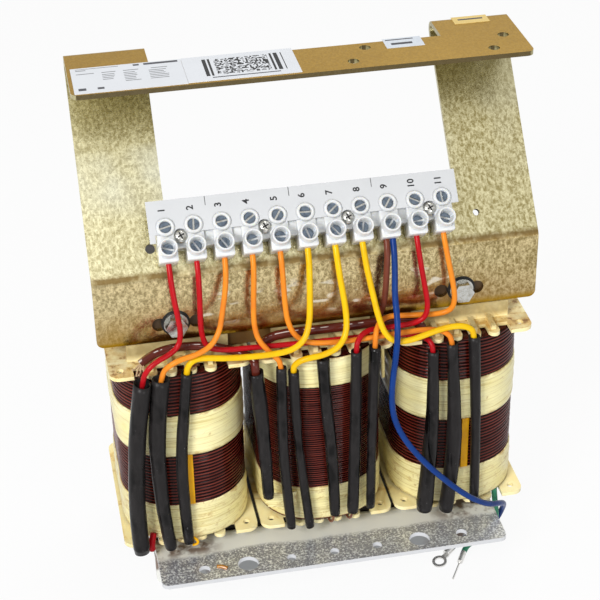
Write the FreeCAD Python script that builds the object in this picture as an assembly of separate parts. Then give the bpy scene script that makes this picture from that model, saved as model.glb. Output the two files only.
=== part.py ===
import FreeCAD, Part
import math
import os

# Open three-limb transformer with three coils, an angle foot on each side of its lower yoke, and a folded
# bracket on its upper yoke that carries an eleven-way terminal strip.
# Millimetres. X runs along the three coils, Y from front to back, Z up. The origin is on the floor, in the
# middle of the core's footprint.

Vec = FreeCAD.Vector
X_AXIS = Vec(1, 0, 0)
Y_AXIS = Vec(0, 1, 0)
Z_AXIS = Vec(0, 0, 1)
OUT = "parts"

# Laminated core
limb_width = 30.0
window_width = 30.0
window_height = 90.0
yoke_height = 30.0
stack_depth = 50.0
core_lift = 1.0
bolt_hole = 6.0

# Core bolts
bolt_diameter = 5.0
bolt_head_across = 8.0
bolt_head_height = 3.5
nut_height = 4.0
bolt_end = 1.5
washer_diameter = 10.0
washer_thickness = 1.0
bush_wall_gap = 0.1

# Folded sheet
sheet = 2.0
bend_radius = 2.0
corner_radius = 3.0

# Mounting bracket
bracket_length = 185.0
apron_below_bolt = 8.0
apron_above_bolt = 22.1
lean_angle = 39.8
lean_length = 94.0
flange_depth = 42.5
leg_width = 32.7
window_sill = 28.0
notch_depth = 19.0
bracket_bolt_hole = 12.0
lobe_hole = 6.0
outer_lobe_offset = 6.65
inner_lobe_offset = 8.6
strip_hole = 3.4
side_hole_spacing = 135.0
side_hole_height = 12.0
left_side_hole = 4.0
right_side_hole = 2.8
flange_hole = 4.6
flange_hole_pair = (7.4, 12.0)
flange_hole_places = ((19.7, 7.0), (77.4, 6.7))

# Feet
foot_length = 152.0
foot_height = 25.0
foot_depth = 33.3
foot_hole_inset = 7.0
foot_hole_pitch = 19.0
foot_big_hole = 9.0
foot_end_hole = 5.0
foot_small_hole = 4.0
varnish_hole = 3.0
varnish_hole_x = -49.5

# Coil formers
former_clearance = 0.3
former_wall = 1.5
former_end_play = 1.2
former_flange = 1.7
former_spacing = 1.6
former_overhang = 13.0
ear_hole = 3.0
ear_hole_side = 4.7
ear_hole_inset = 5.2
ear_width = 9.9
ear_radius = 4.5
finger_width = 4.9
finger_side_gap = 4.7
finger_count = 4
finger_reach = 0.9
slot_depth = 6.5
rib_width = 2.0
rib_height = 2.0
rib_length = 9.0
collar_thickness = 1.4
collar_height = 7.7
collar_length = 42.0

# Windings
winding_side_inset = 1.9
winding_front_reach = 1.0
winding_radius = 24.0
winding_gap = 0.3
groove_depth = 0.45
thick_wire_pitch = 1.6
fine_wire_pitch = 1.1

# Tape bands: the lower and upper edge, as shares of the winding's height
tape_thickness = 0.6
outer_upper_share = (0.529, 0.7692)
outer_lower_share = (0.0178, 0.2213)
middle_upper_share = (0.8343, 0.9953)
middle_lower_share = (0.0438, 0.2166)
strip_width = 3.0
strip_thickness = 0.4
strip_offsets = (0.6, 0.5)

# Terminal strip, in the slope's own frame: x, s up the slope from the lower bend, n away from the sheet
way_count = 11
way_pitch = 11.27
first_way_x = -61.3
lower_screw_s = 9.35
upper_screw_s = 18.1
block_width = 7.8
block_end_margin = 5.15
block_base = 0.5
block_top = 10.0
lower_tower_radius = 3.4
lower_tower_top = 15.0
upper_tower_radius = 3.1
upper_tower_top = 11.4
tower_bore = 2.5
web_top = 3.2
web_s = (9.5, 18.5)
fixing_s = 14.0
fixing_ways = (0.5, 3.5, 6.5, 9.5)
fixing_head = 5.0
fixing_clearance = 0.2
fixing_head_height = 2.0
fixing_shank = 3.0
fixing_nut_across = 5.5
fixing_nut_height = 2.4
clamp_radius = 2.8
clamp_bore = 2.1
clamp_axis_n = 4.5
clamp_inset = 1.8
screw_head_radius = 2.3
screw_shank_radius = 1.4
lower_head_top = 10.6
upper_head_top = 10.4
screw_head_height = 2.3
screw_slot = 0.8
card_thickness = 0.8
card_x = (-68.0, 58.0)
card_s = (15.2, 29.0)
card_tab = 2.4
card_tab_s = 12.0
card_hole_gap = 0.2

# Labels on the bracket's flange: the side that they are measured from, the distances of their two edges from
# the bracket's end on that side, and from the flange's front edge
label_thickness = 0.2
label_large = (-1, (1.5, 45.5), (0.8, 24.8))
label_code = (-1, (45.6, 90.5), (1.3, 25.1))
label_small = (1, (57.0, 41.3), (15.7, 24.9))
label_yellow = (1, (23.9, 8.9), (33.3, 40.3))

# Leads and sleeves
lead_radius = 1.3
copper_radius = 0.6
lead_grip_s = 6.0
lead_copper_s = 11.0
lead_exit_s = 1.0
paired_lead_offset = 1.35
cable_radius = 1.6
left_cable_radius = 1.5
sleeve_wall = 0.45
mouth_depth = 8.0

# Ring lug and crimp pin
ring_outer = 3.3
ring_inner = 2.1
ring_thickness = 0.8
ring_tilt = 8.0
lug_barrel_radius = 1.6
lug_barrel_length = 4.5
ring_center = (50.6, -40.6, 0.0)
crimp_radius = 1.3
crimp_length = 6.0
pin_radius = 0.4

# What follows from the sizes above
coil_pitch = limb_width + window_width
core_length = 3 * limb_width + 2 * window_width
core_height = window_height + 2 * yoke_height
yoke_top = core_lift + yoke_height
window_top = yoke_top + window_height
lower_bolt_z = core_lift + yoke_height / 2
upper_bolt_z = window_top + yoke_height / 2
core_face = stack_depth / 2
sheet_face = core_face + sheet
bend_z = upper_bolt_z + apron_above_bolt
apron_z = upper_bolt_z - apron_below_bolt
lean_rad = math.radians(lean_angle)
flange_under_z = bend_z + lean_length * math.cos(lean_rad)
flange_top_z = flange_under_z + sheet
flange_back_y = -sheet_face + lean_length * math.sin(lean_rad)
flange_front_y = flange_back_y - flange_depth
former_z0 = yoke_top + former_clearance
former_z1 = window_top - former_end_play
former_width = coil_pitch - former_spacing
former_depth = stack_depth + 2 * former_overhang
slot_half_width = former_width / 2 - ear_width
finger_pitch = (2 * slot_half_width - 2 * finger_side_gap - finger_width) / (finger_count - 1)
coil_centers = (-coil_pitch, 0.0, coil_pitch)
coil_names = ("left", "middle", "right")
winding_z0 = former_z0 + former_flange + winding_gap
winding_z1 = former_z1 - former_flange - winding_gap
winding_width = former_width - 2 * winding_side_inset
winding_depth = former_depth + 2 * winding_front_reach
left_strip_x = -coil_pitch + strip_offsets[0]
right_strip_x = coil_pitch + strip_offsets[1]
# The sizes that the routes of the leads and sleeves were drawn for
drawn_pitch = 60.0
drawn_front = 39.0
drawn_levels = (0.0, 31.0, 121.0, 158.1)
levels = (0.0, yoke_top, window_top, bend_z)
slope = FreeCAD.Placement(Vec(0, -sheet_face, bend_z), FreeCAD.Rotation(X_AXIS, 90.0 - lean_angle))


def box(x0, x1, y0, y1, z0, z1):
    """A box between two opposite corners."""
    return Part.makeBox(x1 - x0, y1 - y0, z1 - z0, Vec(x0, y0, z0))


def rod(radius, start, axis, length):
    """A cylinder from a point along an axis."""
    return Part.makeCylinder(radius, length, Vec(*start), axis)


def hexagon(across, start, axis, length):
    """A hexagonal prism whose flats are this far apart, along the Y or Z axis."""
    corner = across / math.sqrt(3.0)
    points = []
    for index in range(7):
        angle = math.radians(60 * index)
        flat = (corner * math.cos(angle), corner * math.sin(angle))
        offset = Vec(flat[0], 0, flat[1]) if abs(axis.y) > 0.5 else Vec(flat[0], flat[1], 0)
        points.append(Vec(*start) + offset)
    return Part.Face(Part.makePolygon(points)).extrude(axis * length)


def on_slope(shape):
    """Carries a shape from the slope's own frame to its place on the leaning sheet."""
    placed = shape.copy()
    placed.Placement = slope.multiply(placed.Placement)
    return placed


def slope_point(x, s, n):
    """The point at x, s up the slope and n away from the sheet."""
    return slope.multVec(Vec(x, s, n))


def winding_level(share):
    """The height at this share of the winding's height."""
    return winding_z0 + share * (winding_z1 - winding_z0)


def placed(point):
    """A drawn point's place on the real model: X with the coils, Y with their fronts, Z with the yokes and bend."""
    x, y, z = point
    index = 0
    while index < len(levels) - 2 and z > drawn_levels[index + 1]:
        index += 1
    share = (z - drawn_levels[index]) / (drawn_levels[index + 1] - drawn_levels[index])
    height = levels[index] + share * (levels[index + 1] - levels[index])
    return Vec(x * coil_pitch / drawn_pitch, y - (winding_depth / 2 - drawn_front), height)


def rounded_edges(points, radii):
    """Straight edges through the points, with a tangent arc of the given radius at each inner point."""
    edges = []
    start = points[0]
    for index in range(1, len(points) - 1):
        before = (points[index - 1] - points[index]).normalize()
        after = (points[index + 1] - points[index]).normalize()
        half_turn = (math.pi - before.getAngle(after)) / 2
        reach = radii[index - 1] * math.tan(half_turn)
        enter = points[index] + before * reach
        leave = points[index] + after * reach
        inward = (before + after).normalize()
        to_arc = radii[index - 1] / math.cos(half_turn) - radii[index - 1]
        edges.append(Part.LineSegment(start, enter).toShape())
        edges.append(Part.Arc(enter, points[index] + inward * to_arc, leave).toShape())
        start = leave
    edges.append(Part.LineSegment(start, points[-1]).toShape())
    return edges


def folded_sheet(front, back, front_radii, back_radii, length):
    """A folded sheet: its section lies between two polylines of (y, z), and it runs the length along X."""
    x0 = -length / 2
    front_points = [Vec(x0, y, z) for y, z in front]
    back_points = [Vec(x0, y, z) for y, z in back]
    edges = rounded_edges(front_points, front_radii) + rounded_edges(back_points, back_radii)
    edges.append(Part.LineSegment(front_points[0], back_points[0]).toShape())
    edges.append(Part.LineSegment(front_points[-1], back_points[-1]).toShape())
    wire = Part.Wire(Part.__sortEdges__(edges))
    return Part.Face(wire).extrude(X_AXIS * length)


def round_corners(shape, radius, chosen):
    """Fillets the edges for which the test says yes."""
    edges = [edge for edge in shape.Edges if chosen(edge)]
    return shape.makeFillet(radius, edges)


def cord_radii(points):
    """For each inner point, 0.45 of the shorter run divided by the tangent of half the turn."""
    radii = []
    for index in range(1, len(points) - 1):
        before = points[index - 1] - points[index]
        after = points[index + 1] - points[index]
        half_turn = (math.pi - before.getAngle(after)) / 2
        radii.append(0.45 * min(before.Length, after.Length) / math.tan(half_turn))
    return radii


def cord(points, radius, name):
    """A round tube along straight runs joined by tangent arcs."""
    radii = cord_radii(points)
    path = Part.Wire(rounded_edges(points, radii))
    direction = (points[1] - points[0]).normalize()
    profile = Part.Wire([Part.Circle(points[0], direction, radius).toShape()])
    solid = path.makePipeShell([profile], True, True)
    expected = math.pi * radius**2 * path.Length
    ratio = abs(solid.Volume) / expected
    print(f"{name}: length {path.Length:.1f}, volume ratio {ratio:.4f}, radii",
          " ".join(f"{value:.1f}" for value in radii))
    return solid


def rounded_rectangle(width, depth, radius, center_x, z):
    """A closed wire, a rectangle with round corners in a level plane."""
    half_w = width / 2
    half_d = depth / 2
    edges = []
    corners = ((1, 1), (-1, 1), (-1, -1), (1, -1))
    diagonal = math.sqrt(0.5)
    arc_ends = []
    for sx, sy in corners:
        middle = Vec(center_x + sx * (half_w - radius), sy * (half_d - radius), z)
        along_x = middle + Vec(sx * radius, 0, 0)
        along_y = middle + Vec(0, sy * radius, 0)
        crown = middle + Vec(sx * radius * diagonal, sy * radius * diagonal, 0)
        first, last = (along_x, along_y) if sx * sy > 0 else (along_y, along_x)
        arc_ends.append((first, crown, last))
    for index, (first, crown, last) in enumerate(arc_ends):
        edges.append(Part.Arc(first, crown, last).toShape())
        edges.append(Part.LineSegment(last, arc_ends[(index + 1) % 4][0]).toShape())
    return Part.Wire(edges)


def laminated_core():
    """The stack of laminations: three limbs, two yokes, four bolt holes."""
    half = core_length / 2
    core = box(-half, half, -core_face, core_face, core_lift, core_lift + core_height)
    for side in (-1, 1):
        middle = side * coil_pitch / 2
        half_window = window_width / 2
        core = core.cut(box(middle - half_window, middle + half_window, -core_face, core_face,
                            yoke_top, window_top))
    for x in (-coil_pitch, coil_pitch):
        for z in (lower_bolt_z, upper_bolt_z):
            core = core.cut(rod(bolt_hole / 2, (x, -core_face, z), Y_AXIS, stack_depth))
    return core


def former_flange_plate(center_x, z0):
    """One flange of a coil former, with ears at its corners and fingers between them, front and back."""
    half_w = former_width / 2
    half_d = former_depth / 2
    plate = box(center_x - half_w, center_x + half_w, -half_d, half_d, z0, z0 + former_flange)
    is_corner = lambda edge: edge.Length < former_flange * 1.01 and abs(edge.tangentAt(0).z) > 0.99
    plate = round_corners(plate, ear_radius, is_corner)
    slot_half = slot_half_width
    ear_hole_x = half_w - ear_hole_side
    for side in (-1, 1):
        y_far = side * (half_d + 1)
        y_near = side * (half_d - slot_depth)
        plate = plate.cut(box(center_x - slot_half, center_x + slot_half, min(y_far, y_near),
                              max(y_far, y_near), z0, z0 + former_flange))
        tip_radius = finger_width / 2
        for index in range(finger_count):
            x = center_x + (index - (finger_count - 1) / 2) * finger_pitch
            tip_y = side * (half_d + finger_reach - tip_radius)
            root_y = side * (half_d - slot_depth - 1)
            plate = plate.fuse(box(x - tip_radius, x + tip_radius, min(root_y, tip_y), max(root_y, tip_y),
                                   z0, z0 + former_flange))
            plate = plate.fuse(rod(tip_radius, (x, tip_y, z0), Z_AXIS, former_flange))
        for ear in (-1, 1):
            ear_y = side * (half_d - ear_hole_inset)
            plate = plate.cut(rod(ear_hole / 2, (center_x + ear * ear_hole_x, ear_y, z0), Z_AXIS,
                                  former_flange))
    return plate


def former_ribs(center_x, z_near, z_far):
    """Ribs on the fingers and a low collar along the yoke, on a flange's outer face."""
    z0, z1 = min(z_near, z_far), max(z_near, z_far)
    up = z_far > z_near
    pieces = []
    for side in (-1, 1):
        y_root = core_face + sheet + 0.2
        for index in range(finger_count):
            x = center_x + (index - (finger_count - 1) / 2) * finger_pitch
            y0, y1 = sorted((side * y_root, side * (y_root + rib_length)))
            pieces.append(box(x - rib_width / 2, x + rib_width / 2, y0, y1, z0, z1))
        if up:
            y0, y1 = sorted((side * (core_face + former_clearance),
                             side * (core_face + former_clearance + collar_thickness)))
            pieces.append(box(center_x - collar_length / 2, center_x + collar_length / 2, y0, y1,
                              z_near, z_near + collar_height))
    return pieces


def coil_former(center_x):
    """A moulded coil former as three solids: its lower flange, its upper flange and the tube between them."""
    inner_w = limb_width + 2 * former_clearance
    inner_d = stack_depth + 2 * former_clearance
    outer_w = inner_w + 2 * former_wall
    outer_d = inner_d + 2 * former_wall
    hollow = box(center_x - inner_w / 2, center_x + inner_w / 2, -inner_d / 2, inner_d / 2,
                 former_z0 - 1, former_z1 + collar_height + 1)
    tube = box(center_x - outer_w / 2, center_x + outer_w / 2, -outer_d / 2, outer_d / 2,
               former_z0 + former_flange, former_z1 - former_flange)
    bottom = former_flange_plate(center_x, former_z0)
    bottom = bottom.multiFuse(former_ribs(center_x, former_z0, former_z0 - rib_height))
    top = former_flange_plate(center_x, former_z1 - former_flange)
    top = top.multiFuse(former_ribs(center_x, former_z1, former_z1 + rib_height))
    return Part.Compound([piece.cut(hollow).removeSplitter() for piece in (bottom, top, tube)])


def winding(center_x, pitch):
    """A coil's wire as one solid whose turns show as rounded ridges, round the former's tube."""
    turns = int((winding_z1 - winding_z0) / pitch)
    step = (winding_z1 - winding_z0) / turns
    wires = []
    for index in range(turns):
        z = winding_z0 + index * step
        inset = groove_depth * 2
        wires.append(rounded_rectangle(winding_width - inset, winding_depth - inset,
                                       winding_radius - groove_depth, center_x, z))
        wires.append(rounded_rectangle(winding_width, winding_depth, winding_radius, center_x, z + step / 2))
    inset = groove_depth * 2
    wires.append(rounded_rectangle(winding_width - inset, winding_depth - inset,
                                   winding_radius - groove_depth, center_x, winding_z1))
    solid = Part.makeLoft(wires, True, True)
    outer_w = limb_width + 2 * former_clearance + 2 * former_wall
    outer_d = stack_depth + 2 * former_clearance + 2 * former_wall
    return solid.cut(box(center_x - outer_w / 2, center_x + outer_w / 2, -outer_d / 2, outer_d / 2,
                         winding_z0 - 1, winding_z1 + 1))


def tape_band(center_x, span):
    """A band of tape round a winding, between two shares of its height."""
    z0, z1 = winding_level(span[0]), winding_level(span[1])
    outer = Part.Face(rounded_rectangle(winding_width + 2 * tape_thickness, winding_depth + 2 * tape_thickness,
                                        winding_radius + tape_thickness, center_x, z0))
    inner = Part.Face(rounded_rectangle(winding_width, winding_depth, winding_radius, center_x, z0))
    return outer.cut(inner).extrude(Z_AXIS * (z1 - z0))


def lead_strip(x):
    """A flat insulated strip that shows between a coil's two bands."""
    front = winding_depth / 2
    return box(x - strip_width / 2, x + strip_width / 2, -front - strip_thickness, -front,
               winding_level(outer_lower_share[1]), winding_level(outer_upper_share[0]))


def mounting_bracket():
    """One folded sheet: an apron on the yoke, two leaning legs round a window, and a flange forward."""
    front = [(-sheet_face, apron_z), (-sheet_face, bend_z), (flange_back_y, flange_under_z),
             (flange_front_y, flange_under_z)]
    half_lean = lean_rad / 2
    half_fold = (math.pi / 2 + lean_rad) / 2
    back = [(-core_face, apron_z),
            (-core_face, bend_z - sheet * math.tan(half_lean)),
            (flange_back_y + sheet * math.tan(half_fold), flange_top_z),
            (flange_front_y, flange_top_z)]
    bracket = folded_sheet(front, back, [bend_radius + sheet, bend_radius], [bend_radius, bend_radius + sheet],
                           bracket_length)
    half = bracket_length / 2
    across = lambda edge: abs(edge.Length - sheet) < 1e-3 and abs(abs(edge.CenterOfMass.x) - half) < 1e-3
    bracket = round_corners(bracket, corner_radius, across)
    inner = half - leg_width
    reach = lean_length + 20
    window = on_slope(box(-inner, inner, window_sill, reach, -20, flange_depth))
    keep = box(-inner, inner, flange_front_y - 1, flange_back_y - notch_depth, flange_under_z - 1,
               flange_top_z + 1)
    window = window.cut(keep)
    bracket = bracket.cut(window)
    for side in (-1, 1):
        for offset, diameter in ((0, bracket_bolt_hole), (outer_lobe_offset, lobe_hole),
                                 (-inner_lobe_offset, lobe_hole)):
            x = side * (coil_pitch + offset)
            bracket = bracket.cut(rod(diameter / 2, (x, -sheet_face - 1, upper_bolt_z), Y_AXIS, sheet + 2))
    for x, y in flange_hole_places:
        for step in (0, 1):
            place = (x + step * flange_hole_pair[0], flange_front_y + y + step * flange_hole_pair[1],
                     flange_under_z - 1)
            bracket = bracket.cut(rod(flange_hole / 2, place, Z_AXIS, sheet + 2))
    for x, diameter in ((-side_hole_spacing / 2, left_side_hole), (side_hole_spacing / 2, right_side_hole)):
        bracket = bracket.cut(on_slope(rod(diameter / 2, (x, side_hole_height, -2 * sheet), Z_AXIS, 4 * sheet)))
    for x in fixing_places():
        bracket = bracket.cut(on_slope(rod(strip_hole / 2, (x, fixing_s, -2 * sheet), Z_AXIS, 4 * sheet)))
    return bracket


def angle_foot(side):
    """A folded angle on the lower yoke, its flange level and its leg down to the floor."""
    face = -sheet_face
    edge = -(core_face + foot_depth)
    front = [(face, 0.0), (face, foot_height - sheet), (edge, foot_height - sheet)]
    back = [(-core_face, 0.0), (-core_face, foot_height), (edge, foot_height)]
    foot = folded_sheet(front, back, [bend_radius], [bend_radius + sheet], foot_length)
    half = foot_length / 2
    across = lambda e: abs(e.Length - sheet) < 1e-3 and abs(abs(e.CenterOfMass.x) - half) < 1e-3
    foot = round_corners(foot, corner_radius, across)
    hole_y = edge + foot_hole_inset
    holes = [(0, foot_small_hole), (1, foot_small_hole), (2, foot_big_hole), (3, foot_end_hole)]
    for step, diameter in holes:
        for x in {-step * foot_hole_pitch, step * foot_hole_pitch}:
            foot = foot.cut(rod(diameter / 2, (x, hole_y, foot_height - sheet - 1), Z_AXIS, sheet + 2))
    for x in (-coil_pitch, coil_pitch):
        foot = foot.cut(rod(bolt_hole / 2, (x, face - 1, lower_bolt_z), Y_AXIS, sheet + 2))
    if side > 0:
        return foot.mirror(Vec(0, 0, 0), Y_AXIS)
    return foot.cut(rod(varnish_hole / 2, (varnish_hole_x, hole_y, foot_height - sheet - 1), Z_AXIS, sheet + 2))


def core_bolts(z, back_face):
    """Two hexagon bolts through the core at one height, whose heads bear on front washers."""
    bolts = []
    head_y = -sheet_face - washer_thickness
    end_y = back_face + washer_thickness + nut_height + bolt_end
    for x in (-coil_pitch, coil_pitch):
        head = hexagon(bolt_head_across, (x, head_y, z), Y_AXIS * -1, bolt_head_height)
        shank = rod(bolt_diameter / 2, (x, head_y, z), Y_AXIS, end_y - head_y)
        bolts.append(head.fuse(shank).removeSplitter())
    return Part.Compound(bolts)


def ring(outer, inner, start, axis, length):
    """A flat ring."""
    return rod(outer / 2, start, axis, length).cut(rod(inner / 2, start, axis, length))


def bolt_washers():
    """A washer under each bolt's head and each nut."""
    pieces = []
    for z, back in ((lower_bolt_z, sheet_face), (upper_bolt_z, core_face)):
        for x in (-coil_pitch, coil_pitch):
            pieces.append(ring(washer_diameter, bolt_diameter, (x, -sheet_face - washer_thickness, z), Y_AXIS,
                               washer_thickness))
            pieces.append(ring(washer_diameter, bolt_diameter, (x, back, z), Y_AXIS, washer_thickness))
    return Part.Compound(pieces)


def bolt_nuts():
    """A hexagon nut at the back of each bolt."""
    pieces = []
    for z, back in ((lower_bolt_z, sheet_face), (upper_bolt_z, core_face)):
        for x in (-coil_pitch, coil_pitch):
            start = (x, back + washer_thickness, z)
            nut = hexagon(bolt_head_across, start, Y_AXIS, nut_height)
            pieces.append(nut.cut(rod(bolt_diameter / 2, start, Y_AXIS, nut_height)))
    return Part.Compound(pieces)


def insulating_bushes():
    """A dark ring in each clearance hole of the bracket, round the bolt."""
    outer = bracket_bolt_hole - 2 * bush_wall_gap
    pieces = [ring(outer, bolt_diameter, (x, -sheet_face, upper_bolt_z), Y_AXIS, sheet)
              for x in (-coil_pitch, coil_pitch)]
    return Part.Compound(pieces)


def way_x(index):
    """The X of a terminal way, counted from the left; a half counts between two ways."""
    return first_way_x + index * way_pitch


def fixing_places():
    """The X of each screw that holds the strip."""
    return [way_x(way) for way in fixing_ways]


def terminal_housing():
    """The strip's moulding: a block with two screw towers for each way, joined by a low web."""
    s0 = lower_screw_s - block_end_margin
    s1 = upper_screw_s + block_end_margin
    web = box(way_x(0) - block_width / 2, way_x(way_count - 1) + block_width / 2, web_s[0], web_s[1],
              block_base, web_top)
    solids = []
    cuts = []
    for index in range(way_count):
        x = way_x(index)
        half = block_width / 2
        solids.append(box(x - half, x + half, s0, s1, block_base, block_top))
        solids.append(rod(lower_tower_radius, (x, lower_screw_s, web_top), Z_AXIS, lower_tower_top - web_top))
        solids.append(rod(upper_tower_radius, (x, upper_screw_s, web_top), Z_AXIS, upper_tower_top - web_top))
        for s in (lower_screw_s, upper_screw_s):
            cuts.append(rod(tower_bore, (x, s, clamp_axis_n), Z_AXIS, lower_tower_top))
        cuts.append(rod(clamp_radius, (x, s0 + clamp_inset, clamp_axis_n), Y_AXIS, s1 - s0 - 2 * clamp_inset))
        entries = (-paired_lead_offset, paired_lead_offset) if index == 8 else (0.0,)
        for offset in entries:
            cuts.append(rod(lead_radius + 0.3, (x + offset, s0 - 1, clamp_axis_n), Y_AXIS, clamp_inset + 1))
        cuts.append(rod(lead_radius + 0.3, (x, s1 - clamp_inset, clamp_axis_n), Y_AXIS, clamp_inset + 1))
    for x in fixing_places():
        cuts.append(rod(fixing_head / 2 + fixing_clearance, (x, fixing_s, web_top), Z_AXIS, block_top))
        cuts.append(rod(fixing_shank / 2, (x, fixing_s, 0), Z_AXIS, web_top))
    housing = web.multiFuse(solids)
    housing = housing.cut(Part.Compound(cuts))
    return on_slope(housing.removeSplitter())


def terminal_clamps():
    """A metal tube in each block, with a hole for each of its two screws."""
    s0 = lower_screw_s - block_end_margin + clamp_inset
    length = upper_screw_s + block_end_margin - clamp_inset - s0
    pieces = []
    for index in range(way_count):
        x = way_x(index)
        tube = rod(clamp_radius, (x, s0, clamp_axis_n), Y_AXIS, length)
        tube = tube.cut(rod(clamp_bore, (x, s0, clamp_axis_n), Y_AXIS, length))
        for s in (lower_screw_s, upper_screw_s):
            tube = tube.cut(rod(screw_shank_radius, (x, s, clamp_axis_n), Z_AXIS, clamp_radius + 1))
        pieces.append(on_slope(tube))
    return Part.Compound(pieces)


def clamp_screws(s, head_top):
    """The slotted screws of one row of towers."""
    pieces = []
    tip = clamp_axis_n + copper_radius
    for index in range(way_count):
        x = way_x(index)
        head = rod(screw_head_radius, (x, s, head_top - screw_head_height), Z_AXIS, screw_head_height)
        slot = box(x - screw_slot / 2, x + screw_slot / 2, s - screw_head_radius, s + screw_head_radius,
                   head_top - screw_slot, head_top)
        shank = rod(screw_shank_radius, (x, s, tip), Z_AXIS, head_top - screw_head_height - tip)
        pieces.append(on_slope(head.cut(slot).fuse(shank).removeSplitter()))
    return Part.Compound(pieces)


def strip_screws():
    """The cross-recessed screws that hold the strip to the sheet."""
    pieces = []
    end_n = -sheet - fixing_nut_height - 1
    for x in fixing_places():
        head = rod(fixing_head / 2, (x, fixing_s, web_top), Z_AXIS, fixing_head_height)
        head = round_corners(head, fixing_head_height * 0.45,
                             lambda e: e.Length > 15 and e.CenterOfMass.z > web_top + fixing_head_height / 2)
        recess = box(x - 1.4, x + 1.4, fixing_s - 0.35, fixing_s + 0.35, web_top + 0.9, web_top + 3)
        recess = recess.fuse(box(x - 0.35, x + 0.35, fixing_s - 1.4, fixing_s + 1.4, web_top + 0.9,
                                 web_top + 3))
        shank = rod(fixing_shank / 2, (x, fixing_s, end_n), Z_AXIS, web_top - end_n)
        pieces.append(on_slope(head.cut(recess).fuse(shank).removeSplitter()))
    return Part.Compound(pieces)


def strip_nuts():
    """The nuts of those screws, behind the sheet."""
    pieces = []
    for x in fixing_places():
        start = (x, fixing_s, -sheet)
        nut = hexagon(fixing_nut_across, start, Z_AXIS * -1, fixing_nut_height)
        hole = rod(fixing_shank / 2, start, Z_AXIS * -1, fixing_nut_height)
        pieces.append(on_slope(nut.cut(hole)))
    return Part.Compound(pieces)


def marker_card():
    """The white card on the blocks, with a hole for each upper tower and a notch for each fixing screw."""
    n0, n1 = block_top, block_top + card_thickness
    card = box(card_x[0], card_x[1], card_s[0], card_s[1], n0, n1)
    card = card.fuse(box(card_x[0], card_x[0] + card_tab, card_tab_s, card_s[0], n0, n1))
    for index in range(way_count):
        card = card.cut(rod(upper_tower_radius + card_hole_gap, (way_x(index), upper_screw_s, n0), Z_AXIS,
                            card_thickness))
    for x in fixing_places():
        card = card.cut(rod(fixing_head / 2 + 0.5, (x, fixing_s, n0), Z_AXIS, card_thickness))
    return on_slope(card.removeSplitter())


def flange_label(spans):
    """A thin label on top of the bracket's flange."""
    side, across, along = spans
    x0, x1 = sorted(side * (bracket_length / 2 - distance) for distance in across)
    y0, y1 = (flange_front_y + distance for distance in along)
    return box(x0, x1, y0, y1, flange_top_z, flange_top_z + label_thickness)


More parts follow.
